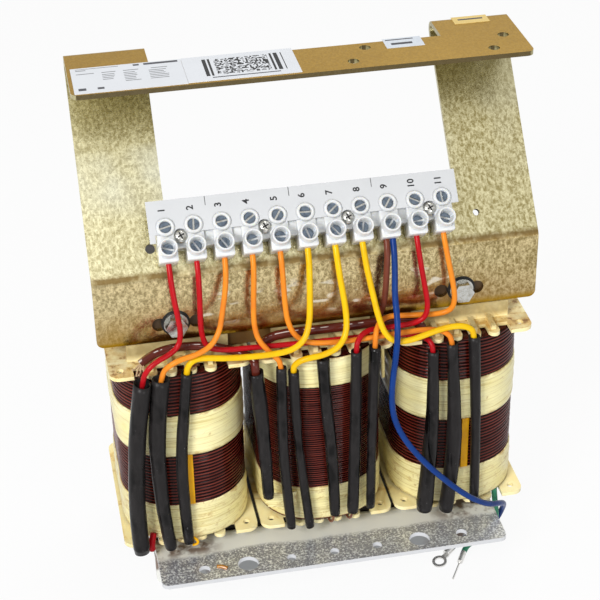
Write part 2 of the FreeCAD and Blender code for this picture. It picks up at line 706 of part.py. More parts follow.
# Routes of the leads below the strip, chosen by hand: the way of the strip, the offset in it, the sleeve that
# the lead ends in, the height above the sleeve's mouth where it turns down, and the points between.
LEADS = {
    "lead_1_red": (0, 0.0, ("left", 0), 2.2,
                   [(-61.0, -33.2, 153.5), (-60.0, -35.5, 145.5), (-59.2, -36.8, 138.0), (-60.2, -38.0, 132.2),
                    (-64.5, -40.0, 129.6), (-70.2, -42.0, 128.4), (-74.4, -42.8, 125.2)]),
    "lead_2_red": (1, 0.0, ("right", 0), 0.8,
                   [(-50.3, -33.0, 152.5), (-50.7, -34.4, 143.5), (-50.8, -35.2, 134.5), (-48.8, -35.2, 127.4),
                    (-42.0, -35.0, 125.2), (-33.0, -34.8, 124.8), (-20.0, -34.8, 124.2), (-4.0, -34.8, 123.7),
                    (12.0, -34.8, 123.4), (25.0, -34.9, 123.0), (34.2, -35.0, 122.2), (39.2, -36.2, 121.6),
                    (42.1, -38.8, 121.6), (43.5, -41.2, 120.8)]),
    "lead_3_orange": (2, 0.0, ("left", 1), 2.6,
                      [(-39.8, -33.2, 153.0), (-41.8, -35.6, 144.0), (-43.6, -37.8, 136.5),
                       (-47.6, -40.6, 131.6), (-54.0, -42.8, 129.8), (-60.4, -43.8, 129.2),
                       (-65.4, -43.9, 127.0)]),
    "lead_4_orange": (3, 0.0, ("middle", 1), 2.0,
                      [(-28.3, -33.0, 152.5), (-29.0, -34.6, 144.0), (-29.2, -35.3, 136.5),
                       (-28.2, -36.8, 130.2), (-25.2, -38.9, 126.0), (-21.6, -41.0, 122.8)]),
    "lead_5_orange": (4, 0.0, ("right", 1), 1.6,
                      [(-16.2, -33.0, 152.0), (-16.1, -34.6, 143.5), (-15.4, -35.8, 135.5),
                       (-12.8, -37.0, 129.2), (-7.4, -37.9, 125.6), (1.5, -38.0, 124.4), (12.0, -38.0, 124.3),
                       (24.0, -38.1, 124.7), (34.0, -38.4, 125.4), (42.0, -38.8, 125.8), (47.2, -40.2, 125.6),
                       (50.4, -41.9, 124.6)]),
    "lead_6_yellow": (5, 0.0, ("left", 2), 0.5,
                      [(-5.5, -33.3, 152.5), (-6.0, -35.6, 143.5), (-6.8, -38.4, 135.8), (-9.4, -41.2, 129.6),
                       (-14.6, -42.8, 126.4), (-23.0, -42.9, 125.5), (-33.0, -42.0, 125.1),
                       (-41.8, -41.1, 125.2), (-48.4, -40.9, 126.2), (-53.2, -41.2, 126.9),
                       (-56.0, -41.6, 126.2), (-57.8, -41.9, 124.0)]),
    "lead_7_yellow": (6, 0.0, ("middle", 2), 1.2,
                      [(7.0, -33.0, 152.5), (8.2, -34.8, 143.5), (8.9, -37.0, 135.5), (8.0, -40.0, 128.8),
                       (4.2, -42.6, 124.6), (-2.0, -43.8, 122.8), (-7.8, -43.8, 122.2), (-11.8, -43.0, 120.9),
                       (-14.0, -42.3, 118.6)]),
    "lead_8_yellow": (7, 0.0, ("right", 2), 1.9,
                      [(18.6, -33.2, 152.5), (20.2, -35.6, 143.8), (21.5, -38.7, 135.8), (23.4, -42.2, 128.8),
                       (27.4, -43.9, 124.8), (34.0, -43.8, 124.5), (42.0, -43.0, 126.4), (49.6, -42.2, 127.8),
                       (56.0, -41.9, 127.6), (59.8, -41.8, 125.9)]),
    "lead_10_red": (9, 0.0, ("middle", 4), 1.9,
                    [(41.0, -33.0, 152.5), (42.4, -34.2, 143.5), (43.6, -35.3, 135.5), (42.6, -35.7, 129.8),
                     (38.0, -35.6, 127.3), (31.0, -35.3, 126.8), (24.2, -35.2, 126.6), (18.4, -36.4, 127.4),
                     (14.6, -39.4, 127.4), (12.6, -41.2, 125.6)]),
    "lead_11_orange": (10, 0.0, ("middle", 5), 3.0,
                       [(52.6, -33.6, 152.5), (54.2, -34.6, 144.0), (55.2, -35.0, 136.4), (54.0, -34.3, 130.8),
                        (49.0, -33.0, 128.8), (41.5, -32.4, 129.0), (34.0, -32.5, 129.8), (27.8, -33.2, 130.9),
                        (23.4, -35.8, 130.8), (20.9, -39.0, 128.9)]),
}

# The long blue lead crosses the right coil, hooks round the foot's end and runs under it to the ring lug.
brown_route = [(26.5, -33.0, 152.5), (26.0, -33.6, 144.5), (25.4, -33.0, 137.0), (24.6, -31.2, 131.9),
               (24.3, -29.9, 128.2)]
blue_route = [(29.7, -34.0, 152.5), (28.8, -37.4, 144.0), (28.9, -41.8, 136.0), (28.2, -46.0, 128.8),
              (27.0, -48.0, 120.0), (25.9, -48.0, 110.0), (25.5, -47.6, 99.5), (26.6, -47.2, 89.5),
              (29.6, -47.6, 81.0), (34.6, -49.0, 72.5), (41.2, -50.6, 64.0), (48.6, -51.4, 55.8),
              (56.4, -51.0, 47.4), (64.2, -48.8, 39.8), (71.2, -45.0, 33.6), (77.6, -40.0, 29.4),
              (81.6, -34.6, 24.6), (82.2, -30.8, 18.4), (80.6, -29.3, 12.0), (76.6, -29.2, 6.6),
              (71.0, -29.6, 3.9), (64.6, -30.4, 3.4)]
green_route = [(76.9, -33.2, 33.1), (77.6, -33.1, 26.0), (78.6, -32.9, 19.0), (78.9, -32.8, 12.4),
               (77.6, -32.8, 8.4), (74.8, -32.7, 5.5), (71.2, -32.9, 3.9), (67.5, -33.7, 3.4)]
green_straight = 3.6
crimp_mouth_place = (62.3, -38.8, 2.6)
pin_tip_place = (53.5, -52.7, pin_radius)

# The two brown cables along the tops of the formers.
left_cable_route = [(-76.0, -33.6, 122.6), (-71.4, -32.4, 125.6), (-63.5, -31.2, 127.0), (-54.0, -30.9, 126.6),
                    (-45.0, -30.9, 124.8), (-38.4, -31.6, 122.6), (-34.2, -33.2, 121.4),
                    (-31.8, -36.0, 121.4), (-30.8, -38.6, 121.6), (-30.3, -40.6, 120.5)]
right_cable_route = [(-26.8, -30.8, 122.3), (-22.8, -29.8, 125.2), (-15.6, -29.4, 126.2), (-3.0, -29.4, 126.0),
                     (10.0, -29.4, 125.9), (22.0, -29.4, 126.0), (33.0, -29.5, 126.4), (39.0, -30.6, 125.6),
                     (42.4, -33.2, 123.2), (43.1, -34.2, 118.4)]

# Heat-shrunk sleeves down the coil fronts: outer radius, then the route from the mouth down.
SLEEVES = {
    "left": [(3.4, [(-76.6, -42.6, 119.0), (-80.2, -42.6, 96.0), (-81.8, -42.5, 76.0), (-83.2, -42.2, 52.0),
                    (-82.4, -41.7, 31.6)]),
             (2.9, [(-68.9, -42.1, 119.8), (-72.4, -42.4, 96.0), (-72.7, -42.5, 74.0), (-72.0, -42.4, 50.0),
                    (-69.9, -42.1, 32.4)]),
             (2.05, [(-58.3, -41.6, 121.0), (-60.2, -42.0, 104.0), (-62.6, -42.1, 84.0), (-63.3, -42.1, 62.0),
                     (-62.0, -42.0, 33.6)])],
    "middle": [(2.5, [(-30.1, -41.5, 117.0), (-28.6, -41.8, 97.0), (-27.4, -41.8, 75.0), (-26.6, -41.5, 51.8)]),
               (2.05, [(-19.6, -42.0, 118.1), (-19.9, -42.3, 92.0), (-19.7, -42.3, 66.0), (-17.1, -42.0, 34.2)]),
               (1.95, [(-14.6, -42.0, 115.6), (-14.0, -42.3, 92.0), (-12.3, -42.3, 66.0), (-8.8, -42.0, 33.0)]),
               (2.4, [(-2.2, -42.0, 120.2), (-1.4, -42.3, 98.0), (1.2, -42.3, 73.0), (2.3, -42.0, 38.0)]),
               (2.35, [(11.8, -42.0, 121.6), (11.5, -42.3, 96.0), (11.0, -42.3, 68.0), (10.1, -42.0, 38.0)]),
               (2.2, [(19.8, -41.5, 122.4), (19.0, -41.8, 96.0), (18.4, -41.8, 68.0), (18.2, -41.5, 39.0)])],
    "right": [(2.6, [(44.2, -43.0, 117.4), (44.7, -43.2, 94.0), (44.0, -43.2, 68.0), (41.3, -43.0, 35.6)]),
              (2.5, [(52.3, -43.0, 120.2), (54.1, -43.2, 90.0), (54.6, -43.2, 62.0), (51.8, -43.0, 32.8)]),
              (2.0, [(62.0, -41.7, 121.4), (63.6, -42.0, 92.0), (64.6, -42.0, 64.0), (65.0, -41.7, 34.4)])],
}


def sleeve_entry(target, rise):
    """Two points on a sleeve's axis: one above its mouth, one inside it."""
    side, index = target
    mouth, below = (placed(point) for point in SLEEVES[side][index][1][:2])
    axis = (below - mouth).normalize()
    return [mouth - axis * rise, mouth + axis * (mouth_depth - 1.5)]


def lead(way, offset, route, name):
    """A lead with its bare copper end, from a way of the strip along its route."""
    x = way_x(way) + offset
    points = [slope_point(x, lead_grip_s, clamp_axis_n), slope_point(x, lead_exit_s, clamp_axis_n)]
    points += route
    solid = cord(points, lead_radius, name)
    inner_x = way_x(way) + offset * 0.6
    copper = on_slope(rod(copper_radius, (inner_x, lead_grip_s, clamp_axis_n), Y_AXIS,
                          lead_copper_s - lead_grip_s))
    return solid.fuse(copper)


def sleeve(radius, route, name):
    """A sleeve along its route, open at its mouth."""
    points = [placed(point) for point in route]
    solid = cord(points, radius, name)
    axis = (points[1] - points[0]).normalize()
    mouth = Part.makeCylinder(radius - sleeve_wall, mouth_depth + 1, points[0] - axis, axis)
    return solid.cut(mouth)


def ring_lug(center, tail):
    """A ring terminal that leans on the floor by its ring, with its barrel on the lead's end."""
    flat = ring(2 * ring_outer, 2 * ring_inner, (0, 0, 0), Z_AXIS, ring_thickness)
    neck_start = ring_outer - 0.6
    barrel_x = ring_outer + 1.4
    neck = box(neck_start, barrel_x + 1, -1.2, 1.2, 0, ring_thickness)
    barrel = rod(lug_barrel_radius, (barrel_x, 0, lug_barrel_radius), X_AXIS, lug_barrel_length)
    lug = flat.fuse(neck).fuse(barrel)
    hollow = rod(lead_radius, (barrel_x + 1.5, 0, lug_barrel_radius), X_AXIS, lug_barrel_length)
    lug = lug.cut(hollow).removeSplitter()
    lug.rotate(Vec(0, 0, 0), Y_AXIS, -ring_tilt)
    heading = math.degrees(math.atan2(tail.y - center.y, tail.x - center.x))
    lug.rotate(Vec(0, 0, 0), Z_AXIS, heading)
    lug.translate(Vec(center.x, center.y, -lug.BoundBox.ZMin))
    return lug


def lug_mouth():
    """Where the lead enters the ring lug, and one point further out along its barrel."""
    tilt = math.radians(ring_tilt)
    drop = ring_outer * math.sin(tilt)
    points = []
    for along in (ring_outer + 1.4 + 1.5, ring_outer + 1.4 + lug_barrel_length + 3.0):
        reach = along * math.cos(tilt) - lug_barrel_radius * math.sin(tilt)
        height = drop + along * math.sin(tilt) + lug_barrel_radius * math.cos(tilt)
        points.append((reach, height))
    return points


def crimp_pin(start, end):
    """A crimp barrel with a thin pin, from the lead's end towards a point on the floor."""
    axis = (end - start).normalize()
    barrel = Part.makeCylinder(crimp_radius, crimp_length, start, axis)
    pin_length = (end - start).Length - crimp_length
    pin = Part.makeCylinder(pin_radius, pin_length, start + axis * crimp_length, axis)
    return barrel.fuse(pin).removeSplitter()


def build():
    """Every node by name."""
    parts = {"laminated_core": laminated_core()}
    for name, x in zip(coil_names, coil_centers):
        parts["bobbin_" + name] = coil_former(x)
        parts["winding_" + name] = winding(x, fine_wire_pitch if name == "middle" else thick_wire_pitch)
        bands = (middle_upper_share, middle_lower_share) if name == "middle" else (outer_upper_share,
                                                                                  outer_lower_share)
        parts["tape_" + name + "_upper"] = tape_band(x, bands[0])
        parts["tape_" + name + "_lower"] = tape_band(x, bands[1])
    parts["lead_strip_left"] = lead_strip(left_strip_x)
    parts["lead_strip_right"] = lead_strip(right_strip_x)
    parts["mounting_bracket"] = mounting_bracket()
    parts["front_foot"] = angle_foot(-1)
    parts["rear_foot"] = angle_foot(1)
    parts["upper_bolts"] = core_bolts(upper_bolt_z, core_face)
    parts["lower_bolts"] = core_bolts(lower_bolt_z, sheet_face)
    parts["bolt_washers"] = bolt_washers()
    parts["bolt_nuts"] = bolt_nuts()
    parts["insulating_bushes"] = insulating_bushes()
    parts["terminal_housing"] = terminal_housing()
    parts["terminal_clamps"] = terminal_clamps()
    parts["upper_clamp_screws"] = clamp_screws(upper_screw_s, upper_head_top)
    parts["lower_clamp_screws"] = clamp_screws(lower_screw_s, lower_head_top)
    parts["strip_screws"] = strip_screws()
    parts["strip_nuts"] = strip_nuts()
    parts["marker_card"] = marker_card()
    parts["label_large"] = flange_label(label_large)
    parts["label_code"] = flange_label(label_code)
    parts["label_small"] = flange_label(label_small)
    parts["label_yellow"] = flange_label(label_yellow)
    for name, (way, offset, target, rise, route) in LEADS.items():
        points = [placed(point) for point in route] + sleeve_entry(target, rise)
        parts[name] = lead(way, offset, points, name)
    parts["lead_9_brown"] = lead(8, -paired_lead_offset, [placed(p) for p in brown_route], "lead_9_brown")
    for name, sleeves in SLEEVES.items():
        solids = [sleeve(radius, route, f"sleeve {name} {index}") for index, (radius, route) in enumerate(sleeves)]
        parts["sleeves_" + name] = Part.Compound(solids)
    left_points = [placed(p) for p in left_cable_route] + sleeve_entry(("middle", 0), 1.3)
    parts["cable_left"] = cord(left_points, left_cable_radius, "cable_left")
    parts["cable_right"] = cord([placed(p) for p in right_cable_route], cable_radius, "cable_right")
    tail = placed(blue_route[-1])
    ring_place = placed(ring_center)
    heading = (tail - Vec(ring_place.x, ring_place.y, tail.z)).normalize()
    mouth = [Vec(ring_place.x, ring_place.y, 0) + heading * reach + Z_AXIS * height
             for reach, height in lug_mouth()]
    blue_points = [placed(p) for p in blue_route] + mouth[::-1]
    parts["lead_9_blue"] = lead(8, paired_lead_offset, blue_points, "lead_9_blue")
    parts["ring_lug"] = ring_lug(ring_place, tail)
    crimp_mouth, pin_tip = placed(crimp_mouth_place), placed(pin_tip_place)
    pin_axis = (pin_tip - crimp_mouth).normalize()
    green_points = [placed(p) for p in green_route] + [crimp_mouth - pin_axis * green_straight, crimp_mouth]
    parts["pin_lead"] = cord(green_points, lead_radius, "pin_lead")
    parts["crimp_pin"] = crimp_pin(crimp_mouth, pin_tip)
    return parts


os.makedirs(OUT, exist_ok=True)
for node, shape in build().items():
    shape.exportStep(os.path.join(OUT, node + ".step"))
    bound = shape.BoundBox
    print(f"{node}: {len(shape.Solids)} solid(s), valid {shape.isValid()}, volume {shape.Volume:.1f}, "
          f"x {bound.XMin:.1f}..{bound.XMax:.1f}, y {bound.YMin:.1f}..{bound.YMax:.1f}, "
          f"z {bound.ZMin:.1f}..{bound.ZMax:.1f}")
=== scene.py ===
"""Looks of an open three-coil transformer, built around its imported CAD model.

Sizes are in millimetres and meshes in metres. X runs along the coils, Y to the back, Z up.
"""

import logging
import math
from dataclasses import dataclass
from enum import Enum
from typing import Optional, Sequence, Union

import bmesh
import bpy
import numpy as np
from mathutils import Matrix, Vector


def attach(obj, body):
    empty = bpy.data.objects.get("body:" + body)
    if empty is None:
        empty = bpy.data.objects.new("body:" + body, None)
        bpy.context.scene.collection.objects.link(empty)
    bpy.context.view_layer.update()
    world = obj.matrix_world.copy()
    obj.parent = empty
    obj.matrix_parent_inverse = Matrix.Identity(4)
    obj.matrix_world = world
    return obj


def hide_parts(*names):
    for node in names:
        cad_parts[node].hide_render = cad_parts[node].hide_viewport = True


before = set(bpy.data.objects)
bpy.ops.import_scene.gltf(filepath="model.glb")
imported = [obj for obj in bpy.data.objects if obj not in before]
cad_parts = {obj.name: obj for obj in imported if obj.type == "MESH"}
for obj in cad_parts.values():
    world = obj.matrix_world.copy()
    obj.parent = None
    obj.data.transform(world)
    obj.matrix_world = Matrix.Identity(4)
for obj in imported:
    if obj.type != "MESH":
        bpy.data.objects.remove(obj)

MM = 0.001
BODY = "root"
FULL_TURN = 2 * math.pi
CORNERS = ((1, 1), (-1, 1), (-1, -1), (1, -1))
WHITE = (1.0, 1.0, 1.0, 1.0)
SPECULAR = "Specular IOR Level"
log = logging.getLogger("transformer")

Colour = tuple[float, float, float]
Point = tuple[float, float, float]
Point2 = tuple[float, float]
Parts = tuple[np.ndarray, np.ndarray]


# Shader maths

class Value:
    """A number or vector that flows between shader nodes, with Python's operators as Math nodes."""

    def __init__(self, shader: "Shader", socket: bpy.types.NodeSocket) -> None:
        """Wraps a socket of the shader's tree."""
        self.shader = shader
        self.socket = socket

    def _math(self, operation: str, *operands: object) -> "Value":
        """Adds a Math node on these operands and returns its result."""
        return self.shader.read("ShaderNodeMath", 0, {"operation": operation}, dict(enumerate(operands)))

    def __add__(self, other: object) -> "Value":
        """Sum."""
        return self._math("ADD", self, other)

    __radd__ = __add__

    def __sub__(self, other: object) -> "Value":
        """Difference."""
        return self._math("SUBTRACT", self, other)

    def __rsub__(self, other: object) -> "Value":
        """Difference with the operands turned round."""
        return self._math("SUBTRACT", other, self)

    def __mul__(self, other: object) -> "Value":
        """Product."""
        return self._math("MULTIPLY", self, other)

    __rmul__ = __mul__

    def __truediv__(self, other: object) -> "Value":
        """Quotient."""
        return self._math("DIVIDE", self, other)

    def __gt__(self, other: object) -> "Value":
        """1 where this is greater, else 0."""
        return self._math("GREATER_THAN", self, other)

    def __lt__(self, other: object) -> "Value":
        """1 where this is less, else 0."""
        return self._math("LESS_THAN", self, other)

    def fraction(self) -> "Value":
        """The part after the decimal point."""
        return self._math("FRACT", self)

    def floor(self) -> "Value":
        """The whole number below."""
        return self._math("FLOOR", self)

    def absolute(self) -> "Value":
        """Size without sign."""
        return self._math("ABSOLUTE", self)

    def larger(self, other: object) -> "Value":
        """The larger of two."""
        return self._math("MAXIMUM", self, other)

    def span(self, low: float, high: float, to_low: float = 0.0, to_high: float = 1.0) -> "Value":
        """Maps low..high to to_low..to_high and clamps outside.

        Args:
            low: The value that becomes to_low.
            high: The value that becomes to_high.
            to_low: Result at low.
            to_high: Result at high.

        Returns:
            The mapped value.
        """
        inputs = {0: self, 1: low, 2: high, 3: to_low, 4: to_high}
        return self.shader.read("ShaderNodeMapRange", 0, {"clamp": True}, inputs)

    def reach(self, low: float, high: float, to_low: float = 0.0, to_high: float = 1.0) -> "Value":
        """A span over a place in metres, with low and high in millimetres."""
        return self.span(low * MM, high * MM, to_low, to_high)


class Shader:
    """The shader nodes of a material or of the world, built node by node."""

    def __init__(self, owner: bpy.types.ID, output: str = "ShaderNodeOutputMaterial") -> None:
        """Starts an empty tree with an output node."""
        owner.use_nodes = True
        self.tree = owner.node_tree
        self.tree.nodes.clear()
        self.output = self.node(output)

    def node(self, kind: str, settings: Optional[dict] = None,
             inputs: Optional[dict] = None) -> bpy.types.Node:
        """Adds one node.

        Args:
            kind: The node's type name.
            settings: Attributes that are set first.
            inputs: Values or links by socket name or number.

        Returns:
            The new node.
        """
        node = self.tree.nodes.new(kind)
        for key, value in (settings or {}).items():
            setattr(node, key, value)
        for key, value in (inputs or {}).items():
            if isinstance(value, Value):
                self.tree.links.new(value.socket, node.inputs[key])
            else:
                node.inputs[key].default_value = value
        return node

    def read(self, kind: str, output: Union[int, str], settings: Optional[dict] = None,
             inputs: Optional[dict] = None) -> Value:
        """Adds one node and returns one of its outputs."""
        return Value(self, self.node(kind, settings, inputs).outputs[output])

    def place(self) -> Value:
        """The point in the object's own coordinates, in metres."""
        return self.read("ShaderNodeTexCoord", "Object")

    def flow(self) -> Value:
        """The piece's own coordinates along and across its surface, in millimetres."""
        return self.read("ShaderNodeAttribute", "Vector", {"attribute_name": "flow"})

    def facing(self) -> Value:
        """The direction that the surface faces, smooth where it shades smoothly."""
        return self.read("ShaderNodeNewGeometry", "Normal")

    def seen(self) -> Value:
        """1 for rays from the camera, off glossy surfaces and through clear ones, else 0."""
        path = self.node("ShaderNodeLightPath").outputs
        camera, glossy, through = (Value(self, path[name]) for name in (
            "Is Camera Ray", "Is Glossy Ray", "Is Transmission Ray"))
        return camera.larger(glossy).larger(through)

    def axes(self, vector: Value) -> tuple[Value, Value, Value]:
        """The three components of a vector."""
        node = self.node("ShaderNodeSeparateXYZ", None, {0: vector})
        return tuple(Value(self, output) for output in node.outputs)

    def join(self, x: object, y: object, z: object) -> Value:
        """A vector from three components."""
        return self.read("ShaderNodeCombineXYZ", 0, None, {0: x, 1: y, 2: z})

    def stretch(self, vector: Value, factors: Point) -> Value:
        """A vector with each component multiplied by its factor."""
        return self.read("ShaderNodeVectorMath", 0, {"operation": "MULTIPLY"}, {0: vector, 1: factors})

    def noise(self, vector: Value, scale: float, detail: float = 3.0, roughness: float = 0.5,
              distortion: float = 0.0) -> Value:
        """Smooth noise between 0 and 1 over a vector."""
        return self.read("ShaderNodeTexNoise", 0, None, {
            "Vector": vector, "Scale": scale, "Detail": detail, "Roughness": roughness,
            "Distortion": distortion})

    def speckle(self, vector: Value) -> Value:
        """A random number for each whole-numbered cell of a vector."""
        return self.read("ShaderNodeTexWhiteNoise", "Value", {"noise_dimensions": "3D"}, {"Vector": vector})

    def blend(self, factor: object, first: object, second: object) -> Value:
        """A colour between two colours.

        Args:
            factor: 0 gives the first, 1 the second.
            first: Colour or colour value.
            second: Colour or colour value.

        Returns:
            The blended colour.
        """
        sides = [side if isinstance(side, Value) else (*side, 1.0) for side in (first, second)]
        return self.read("ShaderNodeMix", 2, {"data_type": "RGBA"}, {0: factor, 6: sides[0], 7: sides[1]})

    def layers(self, base: Value, *coats: tuple[object, object]) -> Value:
        """A base colour with pairs of a factor and a colour laid over it, one after the other."""
        for factor, colour in coats:
            base = self.blend(factor, base, colour)
        return base

    def relief(self, height: Value, depth: float, strength: float = 1.0) -> Value:
        """A bumped normal.

        Args:
            height: 0 to 1 over the surface.
            depth: What 1 stands for, in millimetres.
            strength: Share of the effect.

        Returns:
            The normal.
        """
        return self.read("ShaderNodeBump", 0, None, {
            "Strength": strength, "Distance": depth * MM, "Height": height})

    def surface(self, base: Value, roughness: object, metallic: object = 0.0, coat: object = 0.0,
                normal: Optional[Value] = None, constants: Optional[dict] = None) -> None:
        """Ends the tree in one Principled shader.

        Args:
            base: Base colour.
            roughness: Roughness.
            metallic: Metallic share.
            coat: Coat weight.
            normal: Bumped normal, if any.
            constants: Further sockets of the shader that stay the same all over.
        """
        inputs = {"Base Color": base, "Roughness": roughness, "Metallic": metallic, "Coat Weight": coat}
        if normal is not None:
            inputs["Normal"] = normal
        inputs.update(constants or {})
        self.end(self.node("ShaderNodeBsdfPrincipled", None, inputs))

    def mix(self, factor: Value, plain: Value, seen: Value) -> None:
        """Ends the tree in a mix of two shaders: 0 gives the plain one, 1 the seen one."""
        self.end(self.node("ShaderNodeMixShader", None, {0: factor, 1: plain, 2: seen}))

    def end(self, node: bpy.types.Node) -> None:
        """Joins the last node to the tree's output."""
        self.tree.links.new(node.outputs[0], self.output.inputs["Surface"])


# Finishes

@dataclass(frozen=True)
class Coating:
    """A named finish, which each kind of finish paints in its own way."""

    name: str

    def paint(self, shader: Shader) -> None:
        """Builds the finish's nodes."""
        raise NotImplementedError

    @property
    def material(self) -> bpy.types.Material:
        """The finish's material, built the first time that it is asked for."""
        found = bpy.data.materials.get(self.name)
        if found is None:
            found = bpy.data.materials.new(self.name)
            self.paint(Shader(found))
        return found


@dataclass(frozen=True)
class YellowZinc(Coating):
    """Yellow-passivated zinc sheet: finely mottled, browner on its flange and varnished along its lower
    edge, with painted glints on the varnish, painted shade under the flange and painted light that makes
    its left side lighter.
    """

    name: str = "yellow_zinc"
    light: Colour = (0.90, 0.84, 0.53)
    dark: Colour = (0.30, 0.245, 0.095)
    # This colour is painted shade under the flange.
    olive: Colour = (0.27, 0.23, 0.10)
    flange: Colour = (0.255, 0.145, 0.014)
    flange_light: Colour = (0.44, 0.275, 0.05)
    stain: Colour = (0.34, 0.185, 0.006)
    varnish: Colour = (0.27, 0.125, 0.024)
    crevice: Colour = (0.15, 0.095, 0.030)
    cut_edge: Colour = (0.09, 0.06, 0.025)
    cool: Colour = (0.70, 0.73, 0.66)
    tan: Colour = (0.74, 0.52, 0.235)
    tan_dark: Colour = (0.25, 0.155, 0.052)
    # This colour is a painted highlight.
    glint: Colour = (0.86, 0.80, 0.66)
    grain: float = 620.0
    fold_z: float = 158.6
    edge_z: float = 128.0
    lip_z: float = 230.3
    cool_z: Point2 = (176.0, 190.0)
    shade_z: Point2 = (192.0, 229.0)

    def paint(self, shader: Shader) -> None:
        """Fine distorted noise gives the mottling, and heights above the floor place the stains."""
        place = shader.place()
        x, _, height = shader.axes(place)
        _, front, up = shader.axes(shader.facing())
        over_edge = height - self.edge_z * MM
        wide = x.absolute()
        worms = (shader.noise(place, self.grain, 1.0, 0.4, 0.5) - 0.5).absolute().span(0.0, 0.11, 1.0, 0.0)
        fine = shader.noise(place, 2.3 * self.grain, 1.0)
        streaks = shader.noise(shader.stretch(place, (1.0, 0.55, 0.55)), 1.35 * self.grain, 1.0)
        clouds = shader.noise(place, 24.0, 2.0)
        patches = shader.noise(place, 110.0, 2.0, 0.5)
        pools = shader.noise(shader.stretch(place, (0.55, 1.0, 1.5)), 210.0, 1.0)
        # Painted light: side makes the sheet lighter towards the left, most at the far left end, and darker
        # towards the right, as if lit from the left.
        side = x.reach(-85.0, 85.0, 0.16, -0.06) + x.reach(-77.0, -92.0, 0.0, 0.12)
        tone = (worms * 0.34 + streaks.span(0.40, 0.60) * 0.36 + clouds.span(0.3, 0.7) * 0.14
                + patches.span(0.35, 0.65) * 0.06 + side)
        cool = clouds.span(0.42, 0.62) * height.reach(*self.cool_z) * x.reach(10.0, -50.0, 0.25, 0.7)
        apron = height.reach(self.fold_z, self.fold_z - 2.0)
        tan = shader.blend(worms * 0.5 + streaks.span(0.42, 0.58) * 0.5, self.tan_dark, self.tan)
        # Painted shade: darkening that grows from 192 mm up to 229 mm, high on the legs just under the
        # flange.
        shade = height.reach(*self.shade_z) * clouds.span(0.25, 0.6, 0.30, 0.80)
        soaked = over_edge.reach(21.0, 3.0) * wide.reach(92.0, 50.0, 0.35, 1.0)
        corner = over_edge.reach(18.0, 3.0) * x.reach(-48.0, -74.0) * patches.span(0.3, 0.6, 0.35, 0.9)
        stained = over_edge.reach(3.6, 0.8).larger(corner * 0.6)
        # Painted highlight: pale glint patches between 4 and 24 mm above the lower edge, towards the middle
        # of the sheet.
        painted_glint_band = over_edge.reach(24.0, 17.0) * over_edge.reach(4.0, 8.0) * wide.reach(64.0, 50.0)
        fold = (height - self.fold_z * MM + (fine - 0.5) * MM).absolute().reach(0.7, 2.3, 1.0, 0.0)
        top = up.span(0.9, 0.99)
        mottle = worms * 0.3 + fine * 0.3 + clouds.span(0.3, 0.7) * 0.3
        lip = (front < -0.93) * (height > self.lip_z * MM)
        colour = shader.layers(
            shader.blend(tone, self.dark, self.light),
            (cool * 0.8, self.cool),
            (apron * clouds.span(0.3, 0.7, 0.35, 0.60), tan),
            (shade, self.olive),
            (soaked * patches.span(0.2, 0.6, 0.6, 1.0) * 0.85, self.varnish),
            (stained * patches.span(0.25, 0.55, 0.7, 1.0), self.stain),
            (painted_glint_band * pools.span(0.60, 0.68) * 0.75, self.glint),
            (fold * patches.span(0.32, 0.55, 0.45, 1.0) * 0.95, self.crevice),
            (top, shader.blend(mottle, self.flange, self.flange_light)),
            (lip * 0.85, self.cut_edge))
        rough = fine.span(0.3, 0.7, 0.14, 0.24) + top * 0.14 + (1.0 - apron) * 0.10 + fold * 0.25
        shader.surface(colour, rough, metallic=0.97, normal=shader.relief(worms, 0.05, 0.22))


